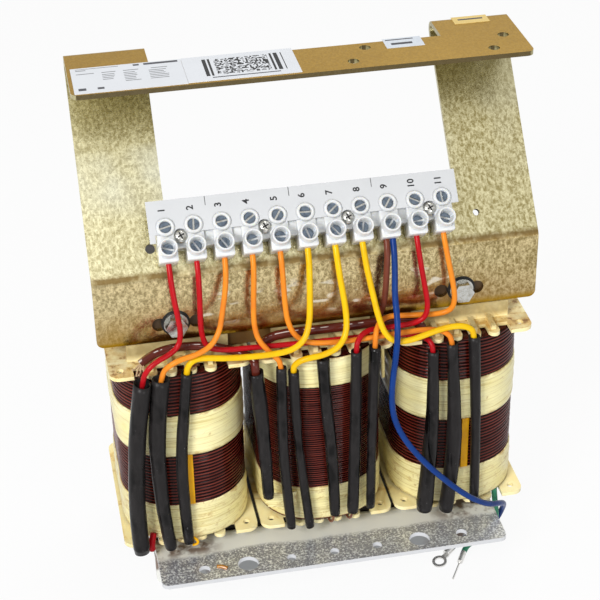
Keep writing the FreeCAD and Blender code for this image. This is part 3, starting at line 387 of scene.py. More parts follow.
@dataclass(frozen=True)
class GreyZinc(Coating):
    """Galvanised sheet: blue-grey with dark speckles, yellowish clouds, and resin under the coils, with a
    painted reflection of the coils on the flange near them and painted shade on the leg under the flange.
    """

    name: str = "grey_zinc"
    light: Colour = (0.70, 0.72, 0.75)
    middle: Colour = (0.51, 0.53, 0.57)
    speck: Colour = (0.22, 0.22, 0.25)
    tint: Colour = (0.78, 0.78, 0.70)
    resin: Colour = (0.12, 0.055, 0.025)
    # This colour is a painted reflection of the coils.
    painted_coil_reflection: Colour = (0.84, 0.84, 0.78)
    # This colour is painted shade on the leg.
    leg: Colour = (0.27, 0.28, 0.29)
    cut: Colour = (0.66, 0.67, 0.69)
    spark: Colour = (0.92, 0.94, 0.96)
    resin_y: Point2 = (43.0, 38.0)
    smooth_y: Point2 = (40.2, 42.7)
    leg_x: Point2 = (66.0, 60.0)
    under_z: float = 22.9

    def paint(self, shader: Shader) -> None:
        """Speckles are the peaks of fine noise; resin blots lie near the coils, where |y| is small."""
        place = shader.place()
        x, depth, height = shader.axes(place)
        _, _, up = shader.axes(shader.facing())
        wide = x.absolute()
        fine = shader.noise(place, 1300.0, 2.0, 0.6)
        patch = shader.noise(place, 42.0, 3.0, 0.6)
        cloud = shader.noise(place, 17.0, 2.0)
        blots = shader.noise(place, 120.0, 3.0, 0.6)
        # Painted reflection: near the coils, where outer falls to 0, the flange is smooth and pale,
        # standing in for the coils' pale formers and tape mirrored in the zinc, and it is less metallic
        # there.
        outer = (depth.absolute() + (patch - 0.5) * (6.0 * MM)).reach(*self.smooth_y)
        # Painted shade: the leg's front face under the flange, seen through the holes, is darkened.
        shaded = (height < self.under_z * MM) * wide.reach(*self.leg_x)
        specks = (fine + patch * 0.22).span(0.54, 0.64) * outer
        near = depth.absolute().reach(*self.resin_y) * wide.reach(46.0, 55.0)
        colour = shader.layers(
            shader.blend(patch.span(0.35, 0.65), self.middle, self.light),
            (cloud.span(0.46, 0.60) * 0.35, self.tint),
            ((1.0 - outer) * 0.8, self.painted_coil_reflection),
            (shaded * 0.85, self.leg),
            (specks * x.reach(-70.0, 60.0, 0.9, 0.7), self.speck),
            (outer * fine.span(0.46, 0.36) * 0.8, self.spark),
            (near * blots.span(0.46, 0.58) * 0.85, self.resin),
            ((up < 0.6) * (height > self.under_z * MM), self.cut))
        shader.surface(colour, patch.span(0.3, 0.7, 0.28, 0.42), outer.span(0.0, 1.0, 0.12, 0.42),
                       normal=shader.relief(fine, 0.05, 0.3))


@dataclass(frozen=True)
class StackedSteel(Coating):
    """The cut edges of a stack of thin steel sheets under dark varnish."""

    name: str = "stacked_steel"
    sheet: float = 0.5
    colour: Colour = (0.056, 0.052, 0.049)
    light: Colour = (0.105, 0.100, 0.096)
    gap: Colour = (0.013, 0.011, 0.010)
    rust: Colour = (0.085, 0.048, 0.026)
    amber: Colour = (0.22, 0.115, 0.030)

    def paint(self, shader: Shader) -> None:
        """Lines lie where the depth divided by the sheet's thickness comes round to a whole number."""
        place = shader.place()
        _, depth, height = shader.axes(place)
        line = ((depth / (self.sheet * MM)).fraction() - 0.5).absolute().span(0.34, 0.48)
        own = shader.noise(shader.stretch(place, (8.0, 2000.0, 8.0)), 1.0, 1.0)
        cloud = shader.noise(place, 55.0, 4.0)
        soaked = (height.reach(100.0, 118.0) * height.reach(127.5, 130.5, 1.0, 0.28)
                  * depth.reach(-23.0, -24.5))
        colour = shader.layers(
            shader.blend(own.span(0.3, 0.7) * 0.5, self.colour, self.light),
            (cloud.span(0.54, 0.7) * 0.4, self.rust),
            (line * 0.7, self.gap),
            (soaked * cloud.span(0.3, 0.6, 0.5, 0.9), self.amber))
        shader.surface(colour, cloud.span(0.3, 0.7, 0.35, 0.55), metallic=0.3,
                       normal=shader.relief(1.0 - line, 0.12, 0.6), constants={SPECULAR: 0.3})


def glow(weight: float, shine: float) -> dict:
    """Socket values of nylon that lets a little light through, by its share of glow and its shine."""
    return {"Subsurface Weight": weight, "Subsurface Scale": 1.5 * MM,
            "Subsurface Radius": (1.0, 0.8, 0.5), SPECULAR: shine}


@dataclass(frozen=True)
class StripNylon(Coating):
    """The terminal strip's white nylon, with a few faint stains."""

    name: str = "strip_nylon"
    colour: Colour = (0.68, 0.69, 0.69)
    stain: Colour = (0.55, 0.56, 0.54)
    stained: float = 0.2
    level: float = 0.656
    gloss: float = 0.2

    def paint(self, shader: Shader) -> None:
        """Stains are coarse noise above a level; pits are fine noise."""
        place = shader.place()
        coarse = shader.noise(place, 95.0, 4.0, 0.6, 0.6)
        fine = shader.noise(place, 420.0, 3.0)
        colour = shader.layers(
            shader.blend(fine.span(0.3, 0.7) * 0.10, self.colour, self.stain),
            (coarse.span(self.level, self.level + 0.16) * self.stained, self.stain))
        shader.surface(colour, coarse.span(0.3, 0.7, self.gloss, self.gloss + 0.16),
                       normal=shader.relief(fine, 0.06, 0.3), constants=glow(0.22, 0.35))


@dataclass(frozen=True)
class MouldedFormer(Coating):
    """Ivory nylon with pale ribs, and amber varnish that ran between the ribs and along the edges."""

    name: str = "moulded_former"
    colour: Colour = (0.90, 0.75, 0.36)
    pale: Colour = (0.93, 0.84, 0.49)
    amber: Colour = (0.58, 0.33, 0.07)
    brown: Colour = (0.22, 0.085, 0.015)
    # This colour darkens the collars towards their tops, just under the bracket's lower edge.
    soaked: Colour = (0.40, 0.31, 0.14)
    plate_z: float = 119.8
    collar_z: Point2 = (120.2, 122.8)

    def paint(self, shader: Shader) -> None:
        """Varnish lies within 0.7 mm of the upper plate's top, and in blots where coarse noise is high."""
        place = shader.place()
        _, _, height = shader.axes(place)
        _, _, up = shader.axes(shader.facing())
        coarse = shader.noise(place, 70.0, 4.0, 0.62, 0.8)
        fine = shader.noise(place, 260.0, 3.0, 0.6)
        level = (height - self.plate_z * MM).absolute().reach(0.7, 0.1)
        pool = level * up.span(0.5, 0.9) * (fine * 0.5 + coarse * 0.5).span(0.40, 0.56, 0.1, 1.0)
        colour = shader.layers(
            shader.blend(coarse.span(0.35, 0.6), self.pale, self.colour),
            (pool * 0.7, self.amber),
            (coarse.span(0.56, 0.70) * 0.75, self.amber),
            # The collar turns darker brown towards its top, under the bracket's lower edge.
            (height.reach(*self.collar_z) * fine.span(0.25, 0.6, 0.65, 0.95), self.soaked),
            ((pool * fine.span(0.56, 0.68)).larger(coarse.span(0.68, 0.76)) * 0.8, self.brown))
        shader.surface(colour, coarse.span(0.3, 0.7, 0.26, 0.12),
                       normal=shader.relief(fine, 0.10, 0.4), constants=glow(0.05, 0.22))


@dataclass(frozen=True)
class EnamelledWire(Coating):
    """Maroon enamelled wire under glossy varnish, a little different from turn to turn, with painted shade
    in the grooves between turns and a painted highlight along each turn.
    """

    pitch: float
    colour: Colour = (0.040, 0.0040, 0.0025)
    warm: Colour = (0.085, 0.010, 0.006)
    # The next two colours are painted shade for the grooves and a painted highlight along the turns.
    deep: Colour = (0.0015, 0.0004, 0.0003)
    painted_crest_light: Colour = (0.42, 0.070, 0.045)
    amber: Colour = (0.20, 0.050, 0.008)
    ambered: float = 0.3

    def paint(self, shader: Shader) -> None:
        """The flow's second number is the height, so its whole part over the pitch numbers the turns."""
        flow = shader.flow()
        along, up, _ = shader.axes(flow)
        turn = up / self.pitch
        own = shader.speckle(shader.join(turn.floor(), (along / 60.0).floor(), 0.0))
        # Painted shade: the grooves between turns darken to near black.
        painted_groove_shade = (turn.fraction() - 0.5).absolute().span(0.14, 0.40)
        # Painted highlight: a bright line along each turn, a little above its middle.
        painted_crest_light = (turn.fraction() - 0.60).absolute().span(0.16, 0.03)
        drift = shader.noise(shader.stretch(flow, (0.05, 0.9, 0.0)), 1.0, 3.0)
        runs = shader.noise(shader.stretch(flow, (0.10, 0.02, 0.0)), 1.0, 3.0, 0.6)
        colour = shader.layers(
            shader.blend(own * 0.4 + drift.span(0.35, 0.7) * 0.4, self.colour, self.warm),
            (runs.span(0.56, 0.70) * self.ambered, self.amber),
            (painted_groove_shade * 0.9, self.deep),
            (painted_crest_light * drift.span(0.25, 0.65) * 0.5, self.painted_crest_light))
        shader.surface(colour, drift.span(0.3, 0.7, 0.10, 0.22), constants={SPECULAR: 0.13})


@dataclass(frozen=True)
class VarnishedTape(Coating):
    """Pale yellow tape in several layers, with fine creases along it and amber varnish at its edges."""

    name: str = "varnished_tape"
    colour: Colour = (0.92, 0.82, 0.37)
    pale: Colour = (0.97, 0.91, 0.53)
    crease: Colour = (0.60, 0.46, 0.14)
    amber: Colour = (0.40, 0.19, 0.03)

    def paint(self, shader: Shader) -> None:
        """Creases are noise drawn out along the band; the flow's third number is 1 at the band's edges."""
        flow = shader.flow()
        _, level, edge = shader.axes(flow)
        low = level.span(58.0, 48.0)
        creases = shader.noise(shader.stretch(flow, (0.030, 1.35, 0.0)), 1.0, 4.0, 0.6, 0.5)
        cloud = shader.noise(shader.stretch(flow, (0.06, 0.10, 0.0)), 1.0, 3.0)
        spots = shader.noise(shader.stretch(flow, (0.22, 0.35, 0.0)), 1.0, 4.0, 0.7, 0.6)
        rim = edge.span(0.55, 1.0) * spots.span(0.42, 0.62)
        soaked = rim.larger((spots + low * 0.09).span(0.62, 0.76) * 0.8)
        colour = shader.layers(
            shader.blend(cloud.span(0.3, 0.7), self.colour, self.pale),
            (creases.span(0.50, 0.64) * 0.75, self.crease),
            (soaked * 0.75, self.amber),
            (low * cloud.span(0.35, 0.65) * 0.25, self.crease))
        shader.surface(colour, cloud.span(0.3, 0.7, 0.26, 0.42), coat=0.15,
                       normal=shader.relief(creases, 0.45, 0.7), constants={SPECULAR: 0.4})


@dataclass(frozen=True)
class Insulation(Coating):
    """Smooth plastic insulation of a lead; glint is the share of a painted highlight: pale broken lines on
    its upper front.
    """

    colour: Colour
    shade: Colour
    rough: float = 0.2
    coat: float = 0.0
    shine: float = 0.13
    glint: float = 0.0
    # This colour is the painted highlight's.
    pale: Colour = (0.85, 0.80, 0.77)

    def paint(self, shader: Shader) -> None:
        """Slow noise along the lead shifts the colour between its two shades."""
        place = shader.place()
        slow = shader.noise(place, 130.0, 2.0)
        fine = shader.noise(place, 1500.0, 2.0)
        colour = shader.blend(slow.span(0.4, 0.75) * 0.6, self.colour, self.shade)
        # Painted highlight: pale broken lines where the surface faces up and to the front, in place of a
        # lamp's reflection.
        if self.glint:
            _, front, up = shader.axes(shader.facing())
            painted_crest_light = up.span(0.72, 0.77) * up.span(0.875, 0.83) * (front < 0.0)
            broken = shader.noise(place, 240.0, 2.0).span(0.52, 0.57)
            colour = shader.blend(painted_crest_light * broken * self.glint, colour, self.pale)
        shader.surface(colour, slow.span(0.3, 0.7, self.rough, self.rough + 0.1), coat=self.coat,
                       normal=shader.relief(fine, 0.02, 0.3), constants={SPECULAR: self.shine})


@dataclass(frozen=True)
class ShrunkSleeve(Coating):
    """Black heat-shrink sleeve, satin with lengthwise wrinkles and a few shiny dents."""

    name: str = "shrunk_sleeve"
    colour: Colour = (0.013, 0.0115, 0.0115)
    worn: Colour = (0.032, 0.029, 0.029)
    dent: Colour = (0.0015, 0.0013, 0.0013)
    dust: Colour = (0.35, 0.35, 0.36)

    def paint(self, shader: Shader) -> None:
        """Noise drawn out along the height gives the wrinkles, and coarse noise the shiny dents."""
        place = shader.place()
        wrinkles = shader.noise(shader.stretch(place, (1.0, 1.0, 0.22)), 520.0, 3.0)
        dents = shader.noise(shader.stretch(place, (1.0, 1.0, 0.5)), 150.0, 2.0)
        dust = shader.noise(place, 900.0, 2.0, 0.8)
        colour = shader.layers(
            shader.blend(wrinkles.span(0.45, 0.8) * 0.45, self.colour, self.worn),
            (dents.span(0.56, 0.68) * 0.9, self.dent),
            (dust.span(0.72, 0.78) * 0.6, self.dust))
        height = wrinkles * 0.5 + dents.span(0.3, 0.7) * 0.5
        shader.surface(colour, dents.span(0.50, 0.64, 0.36, 0.10),
                       normal=shader.relief(height, 0.45, 0.6), constants={SPECULAR: 0.15})


@dataclass(frozen=True)
class Plating(Coating):
    """Bright plated steel or tinned copper of small fasteners."""

    colour: Colour
    dull: Colour
    rough: float

    def paint(self, shader: Shader) -> None:
        """Fine noise dulls the plating in small spots."""
        spots = shader.noise(shader.place(), 600.0, 4.0, 0.7)
        colour = shader.blend(spots.span(0.45, 0.75), self.colour, self.dull)
        shader.surface(colour, spots.span(0.3, 0.75, self.rough, self.rough + 0.22), metallic=1.0,
                       normal=shader.relief(spots, 0.03, 0.4))


@dataclass(frozen=True)
class PlainPaper(Coating):
    """A plain label or card, a little uneven in tone."""

    colour: Colour
    shade: Colour
    shading: float = 0.5
    gloss: Point2 = (0.42, 0.55)

    def printed(self, shader: Shader, place: Value, paper: Value) -> Value:
        """What is printed on the paper: nothing here."""
        return paper

    def paint(self, shader: Shader) -> None:
        """Two noises give a faint cloud and the paper's tooth."""
        place = shader.place()
        cloud = shader.noise(place, 60.0, 3.0)
        tooth = shader.noise(place, 1500.0, 3.0)
        paper = shader.blend(cloud.span(0.35, 0.75) * self.shading, self.colour, self.shade)
        shader.surface(self.printed(shader, place, paper), tooth.span(0.3, 0.7, *self.gloss),
                       normal=shader.relief(tooth, 0.01, 0.3), constants={SPECULAR: 0.12})


@dataclass(frozen=True)
class CodedLabel(PlainPaper):
    """A white label with a meaningless field of square dots between dark bars."""

    shading: float = 0.4
    gloss: Point2 = (0.35, 0.48)
    ink: Colour = (0.03, 0.03, 0.03)
    dot: float = 0.66
    across: Point2 = (-34.5, -13.0)
    along: Point2 = (-3.0, 12.0)
    bars: Sequence[Point2] = ((-39.1, 1.5), (-36.9, 0.9), (-12.0, 0.9), (-10.3, 1.6), (-7.4, 0.4))
    bar_end: float = 0.6

    def printed(self, shader: Shader, place: Value, paper: Value) -> Value:
        """Dots are a random number for each square cell of the field; a bar is a start and a width."""
        x, y, _ = shader.axes(place)
        x, y = x / MM, y / MM
        cell = shader.join((x / self.dot).floor(), (y / self.dot).floor(), 0.0)
        (left, right), (low, high) = self.across, self.along
        inside = (x > left) * (x < right) * (y > low) * (y < high)
        marks = (shader.speckle(cell) > 0.5) * inside
        tall = (y > low - self.bar_end) * (y < high + self.bar_end)
        for start, width in self.bars:
            marks = marks.larger((x > start) * (x < start + width) * tall)
        return shader.blend(marks, paper, self.ink)


@dataclass(frozen=True)
class PaleGround(Coating):
    """The floor: nearly white to the camera and in reflections, and it keeps a soft shadow."""

    name: str = "pale_ground"
    grey: float = 0.72
    share: float = 0.93

    def paint(self, shader: Shader) -> None:
        """A diffuse floor mixed with plain white for rays from the camera and from glossy surfaces."""
        grey = (self.grey, self.grey, self.grey, 1.0)
        shader.mix(shader.seen() * self.share,
                   shader.read("ShaderNodeBsdfDiffuse", 0, None, {"Color": grey}),
                   shader.read("ShaderNodeEmission", 0, None, {"Color": WHITE, "Strength": 1.0}))


class Finish(Enum):
    """Every finish on the transformer."""

    BRACKET = YellowZinc()
    FOOT = GreyZinc()
    CORE = StackedSteel()
    FORMER = MouldedFormer()
    STRIP = StripNylon()
    THICK_WIRE = EnamelledWire("thick_wire", 1.6, ambered=0.12)
    FINE_WIRE = EnamelledWire("fine_wire", 1.1, ambered=0.45)
    TAPE = VarnishedTape()
    SLEEVE = ShrunkSleeve()
    RED = Insulation("red_insulation", (0.45, 0.006, 0.011), (0.29, 0.003, 0.007))
    ORANGE = Insulation("orange_insulation", (0.80, 0.255, 0.020), (0.62, 0.15, 0.018))
    YELLOW = Insulation("yellow_insulation", (0.82, 0.50, 0.006), (0.68, 0.36, 0.004))
    BROWN = Insulation("brown_insulation", (0.155, 0.040, 0.022), (0.09, 0.022, 0.013))
    BLUE = Insulation("blue_insulation", (0.005, 0.038, 0.20), (0.003, 0.024, 0.13))
    GREEN = Insulation("green_insulation", (0.05, 0.26, 0.15), (0.03, 0.16, 0.09))
    # The brown cable carries a painted highlight along its upper front.
    CABLE = Insulation("glossy_brown", (0.105, 0.017, 0.010), (0.050, 0.008, 0.005),
                       rough=0.05, shine=0.22, glint=0.75)
    WIRE_END = Insulation("wire_end", (0.17, 0.055, 0.03), (0.30, 0.13, 0.05), rough=0.3, coat=0.4)
    FRAY = Insulation("frayed_end", (0.62, 0.46, 0.28), (0.34, 0.20, 0.10), rough=0.5)
    AMBER = Insulation("amber_film", (0.84, 0.42, 0.006), (0.62, 0.24, 0.004), coat=0.05)
    DROP = Insulation("varnish_drop", (0.40, 0.15, 0.012), (0.72, 0.46, 0.14),
                      rough=0.12, coat=0.2, shine=0.5)
    CREAM = Insulation("cream_strip", (0.86, 0.74, 0.34), (0.70, 0.52, 0.16), rough=0.3)
    BUSH = Insulation("black_bush", (0.012, 0.012, 0.012), (0.03, 0.03, 0.03), rough=0.3, coat=0.2)
    BOLT = Plating("bolt_plating", (0.56, 0.56, 0.53), (0.32, 0.30, 0.25), 0.13)
    SCREW = Plating("screw_plating", (0.17, 0.21, 0.26), (0.05, 0.06, 0.08), 0.15)
    LUG = Plating("tinned_lug", (0.78, 0.77, 0.75), (0.58, 0.57, 0.54), 0.25)
    CARD = PlainPaper("marker_card", (0.60, 0.61, 0.62), (0.54, 0.55, 0.57))
    INK = PlainPaper("ink", (0.03, 0.03, 0.032), (0.06, 0.06, 0.06))
    LABEL = PlainPaper("plain_label", (0.70, 0.72, 0.75), (0.64, 0.66, 0.69))
    PRINT = PlainPaper("faint_print", (0.07, 0.07, 0.08), (0.16, 0.16, 0.17))
    DATE = PlainPaper("date_label", (0.64, 0.68, 0.73), (0.50, 0.56, 0.63))
    YELLOW_LABEL = PlainPaper("yellow_label", (0.74, 0.56, 0.22), (0.60, 0.43, 0.14))
    CODE = CodedLabel("coded_label", (0.70, 0.72, 0.75), (0.64, 0.66, 0.69))

    @property
    def material(self) -> bpy.types.Material:
        """The finish's material."""
        return self.value.material


# Pieces and meshes

def dress(finish: Finish, *nodes: str) -> None:
    """Gives CAD nodes a finish."""
    for node in nodes:
        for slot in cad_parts[node].material_slots:
            slot.material = finish.material
        log.info("%s keeps its CAD shape in %s", node, finish.name.lower())


def add_piece(piece: bpy.types.Object, finish: Finish, slot: str,
              nodes: Sequence[str] = ()) -> bpy.types.Object:
    """Finishes a new piece and ties it to the model.

    Args:
        piece: The object, at the origin.
        finish: Its finish.
        slot: The record's material slot; not used.
        nodes: CAD nodes that it stands for.

    Returns:
        The same object.
    """
    piece.data.materials.clear()
    piece.data.materials.append(finish.material)
    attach(piece, BODY)
    if nodes:
        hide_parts(*nodes)
    log.info("%s made in %s, for %s", piece.name, finish.name.lower(), ", ".join(nodes) or "no node")
    return piece


def link(name: str, data: bpy.types.ID) -> bpy.types.Object:
    """A new object in the scene, with this data."""
    item = bpy.data.objects.new(name, data)
    bpy.context.scene.collection.objects.link(item)
    return item


def mesh_object(name: str, points: np.ndarray, faces: np.ndarray, flow: Optional[np.ndarray] = None,
                smooth: bool = True) -> bpy.types.Object:
    """A mesh from whole arrays.

    Args:
        name: The object's name.
        points: (n, 3) in millimetres.
        faces: (m, 4) corner numbers.
        flow: (n, 3) surface coordinates, if the finish needs them.
        smooth: Whether faces shade smoothly.

    Returns:
        The linked object.
    """
    mesh = bpy.data.meshes.new(name)
    mesh.vertices.add(len(points))
    mesh.vertices.foreach_set("co", (points * MM).astype(np.float32).ravel())
    mesh.loops.add(faces.size)
    mesh.loops.foreach_set("vertex_index", faces.astype(np.int32).ravel())
    mesh.polygons.add(len(faces))
    mesh.polygons.foreach_set("loop_start", np.arange(len(faces), dtype=np.int32) * faces.shape[1])
    mesh.polygons.foreach_set("use_smooth", np.full(len(faces), smooth))
    mesh.update(calc_edges=True)
    mesh.validate()
    if flow is not None:
        attribute = mesh.attributes.new("flow", "FLOAT_VECTOR", "POINT")
        attribute.data.foreach_set("vector", flow.astype(np.float32).ravel())
    return link(name, mesh)


def ring_faces(rows: int, columns: int, wrap: bool = False) -> np.ndarray:
    """Corner numbers of the quads between closed rings of points.

    Args:
        rows: Number of rings.
        columns: Number of points in a ring.
        wrap: Whether the last ring joins the first.

    Returns:
        (m, 4) corner numbers.
    """
    r, c = np.meshgrid(np.arange(rows if wrap else rows - 1), np.arange(columns), indexing="ij")
    here, there = r * columns, (r + 1) % rows * columns
    c2 = (c + 1) % columns
    return np.stack([here + c, here + c2, there + c2, there + c], axis=-1).reshape(-1, 4)


def smooth_route(points: Sequence[Point], samples: int = 8) -> np.ndarray:
    """A smooth line through given points: a parabola about each inner point, from mid-run to mid-run.

    Args:
        points: The route's points.
        samples: Points on each parabola.

    Returns:
        (n, 3) points on the line.
    """
    p = np.array(points, float)
    ends = (p[:-1] + p[1:]) / 2
    ends[0], ends[-1] = p[0], p[-1]
    t = np.linspace(0, 1, samples, endpoint=False)[None, :, None]
    a, b, c = ends[:-1, None], p[1:-1, None], ends[1:, None]
    line = (1 - t) ** 2 * a + 2 * t * (1 - t) * b + t**2 * c
    return np.vstack([line.reshape(-1, 3), p[-1:]])


def tube(line: np.ndarray, steps: np.ndarray, radii: np.ndarray, sides: int, oval: float = 0.0,
         turn: float = 0.0, twist: float = 1.4, guide: Point = (0.12, 0.97, 0.21)) -> Parts:
    """A closed tube: circles of given radii at given places on a line.

    The point at step t and angle a is line(t) + r(t, a) (cos a side + sin a across), where side and
    across are square to the line, and side is square to the guide too.

    Args:
        line: (n, 3) centre line.
        steps: Place of each circle on the line, 0 to 1.
        radii: Radius of each circle.
        sides: Points on each circle.
        oval: How far each circle is from round, as a share of its radius.
        turn: Where the long axis of the oval points, in radians.
        twist: How far the long axis turns from end to end, in radians.
        guide: A direction that the line never takes.

    Returns:
        Points and faces.
    """
    tangent = np.gradient(line, axis=0)
    tangent /= np.linalg.norm(tangent, axis=1, keepdims=True)
    side = np.cross(tangent, guide)
    side /= np.linalg.norm(side, axis=1, keepdims=True)
    place = steps * (len(line) - 1)
    index = np.arange(len(line))
    centre, first, second = (np.stack([np.interp(place, index, values[:, k]) for k in range(3)], axis=1)
                             for values in (line, side, np.cross(tangent, side)))
    angle = np.linspace(0, FULL_TURN, sides, endpoint=False)
    wave = 1 + oval * np.cos(2 * (angle[None, :] - turn - twist * steps[:, None]))
    r = (radii[:, None] * wave)[..., None]
    points = centre[:, None] + r * (np.cos(angle)[None, :, None] * first[:, None]
                                    + np.sin(angle)[None, :, None] * second[:, None])
    return points.reshape(-1, 3), ring_faces(len(steps), sides)


def thread(route: Sequence[Point], radius: float, rows: int, sides: int) -> Parts:
    """A thin closed tube of one radius along given points."""
    steps = np.concatenate([[0.0], np.linspace(0, 1, rows), [1.0]])
    radii = np.full(rows + 2, radius)
    radii[[0, -1]] = 0.0
    return tube(smooth_route(route), steps, radii, sides)


def solid(name: str, parts: Sequence[Parts], finish: Finish, slot: str, nodes: Sequence[str] = (),
          smooth: bool = True, flow: Optional[np.ndarray] = None) -> None:
    """Makes one piece of several (points, faces), with closed poles and with its faces outwards.

    Args:
        name: The piece's name.
        parts: The points and faces of each closed surface.
        finish: Its finish.
        slot: The record's material slot; passed to add_piece but not used.
        nodes: CAD nodes that it stands for.
        smooth: Whether faces shade smoothly.
        flow: Surface coordinates, if the finish needs them.
    """
    offsets = np.cumsum([0] + [len(points) for points, _ in parts[:-1]])
    faces = np.vstack([faces + offset for (_, faces), offset in zip(parts, offsets)])
    piece = mesh_object(name, np.vstack([points for points, _ in parts]), faces, flow, smooth)
    work = bmesh.new()
    work.from_mesh(piece.data)
    bmesh.ops.remove_doubles(work, verts=work.verts, dist=1e-6)
    bmesh.ops.recalc_face_normals(work, faces=work.faces)
    work.to_mesh(piece.data)
    work.free()
    add_piece(piece, finish, slot, nodes)


def curve_piece(name: str, route: Sequence[Point], radius: float) -> bpy.types.Object:
    """A round lead along given points, as a smooth spline.

    Args:
        name: The object's name.
        route: Control points in millimetres.
        radius: The lead's radius in millimetres.

    Returns:
        The linked curve object.
    """
    data = bpy.data.curves.new(name, "CURVE")
    data.dimensions = "3D"
    data.bevel_depth = radius * MM
    data.bevel_resolution = 5
    data.resolution_u = 8
    data.use_fill_caps = True
    spline = data.splines.new("NURBS")
    spline.points.add(len(route) - 1)
    for point, place in zip(spline.points, route):
        point.co = (*(value * MM for value in place), 1.0)
    spline.order_u = 3
    spline.use_endpoint_u = True
    return link(name, data)


def rotated(outline: np.ndarray, turn: float) -> np.ndarray:
    """An (n, 2) outline turned about its origin."""
    return outline @ np.array([[math.cos(turn), math.sin(turn)], [-math.sin(turn), math.cos(turn)]])


# Sub-assemblies

@dataclass(frozen=True)
class Slope:
    """The bracket's leaning sheet, which carries the terminal strip."""

    lean: float = math.radians(39.8)
    face_y: float = -27.0
    fold_z: float = 158.1

    def at(self, x: float, s: float, n: float) -> Point:
        """The point at x, s up the slope and n away from the sheet, in millimetres."""
        y = self.face_y + s * math.sin(self.lean) - n * math.cos(self.lean)
        return (x, y, self.fold_z + s * math.cos(self.lean) + n * math.sin(self.lean))

    def matrix(self, x: float, s: float, n: float, turn: float) -> Matrix:
        """A flat drawing's place on the slope, turned about the sheet's normal, in metres."""
        rise, run = math.cos(self.lean), math.sin(self.lean)
        place = Matrix(((1, 0, 0), (0, run, -rise), (0, rise, run))).to_4x4()
        return Matrix.Translation(Vector(self.at(x, s, n)) * MM) @ place @ Matrix.Rotation(turn, 4, "Z")


@dataclass(frozen=True)
class Ways:
    """The ways of the terminal strip, which are numbered from 0 at the left."""

    count: int = 11
    first_x: float = -61.3
    pitch: float = 11.27

    def x(self, way: float) -> float:
        """The X of a way, or of a place between two."""
        return self.first_x + way * self.pitch


SLOPE, WAYS = Slope(), Ways()


class CoilSide(Enum):
    """The three coils, with the X of each."""

    LEFT = -60.0
    MIDDLE = 0.0
    RIGHT = 60.0

    @property
    def word(self) -> str:
        """The side's word in node names."""
        return self.name.lower()

    @property
    def seed(self) -> int:
        """The number that sets the side's random draws."""
        return 100 + int(self.value)


@dataclass(frozen=True)
class CoilOutline:
    """The rounded rectangle that the wire of a coil follows."""

    half_width: float = 27.3
    half_depth: float = 39.0
    radius: float = 24.0
    corner_steps: int = 16
    side_steps: tuple[int, int] = (5, 8)

    def walk(self) -> tuple[np.ndarray, np.ndarray, np.ndarray]:
        """Points of the outline, their outward directions and their distance along it.

        Each corner is an arc a -> centre + radius (cos a, sin a); straight sides join the arcs.
        """
        points, outs = [], []
        for quarter, (sx, sy) in enumerate(CORNERS):
            a = np.linspace(quarter, quarter + 1, self.corner_steps) * math.pi / 2
            normal = np.stack([np.cos(a), np.sin(a)], axis=1)
            centre = np.array([sx * (self.half_width - self.radius), sy * (self.half_depth - self.radius)])
            arc = centre + self.radius * normal
            end = arc[-1] * ((1, -1) if quarter % 2 else (-1, 1))
            t = np.linspace(0, 1, self.side_steps[quarter % 2] + 1)[1:-1, None]
            points += [arc, arc[-1] * (1 - t) + end * t]
            outs += [normal, np.repeat(normal[-1:], len(t), axis=0)]
        line, normals = np.vstack(points), np.vstack(outs)
        hop = np.linalg.norm(np.diff(line, axis=0, append=line[:1]), axis=1)
        return line, normals, np.concatenate([[0.0], np.cumsum(hop)[:-1]])


@dataclass(frozen=True)
class Band:
    """A band of tape between two heights, with the roughness of its edges."""

    low: float
    high: float
    ragged: float = 0.14


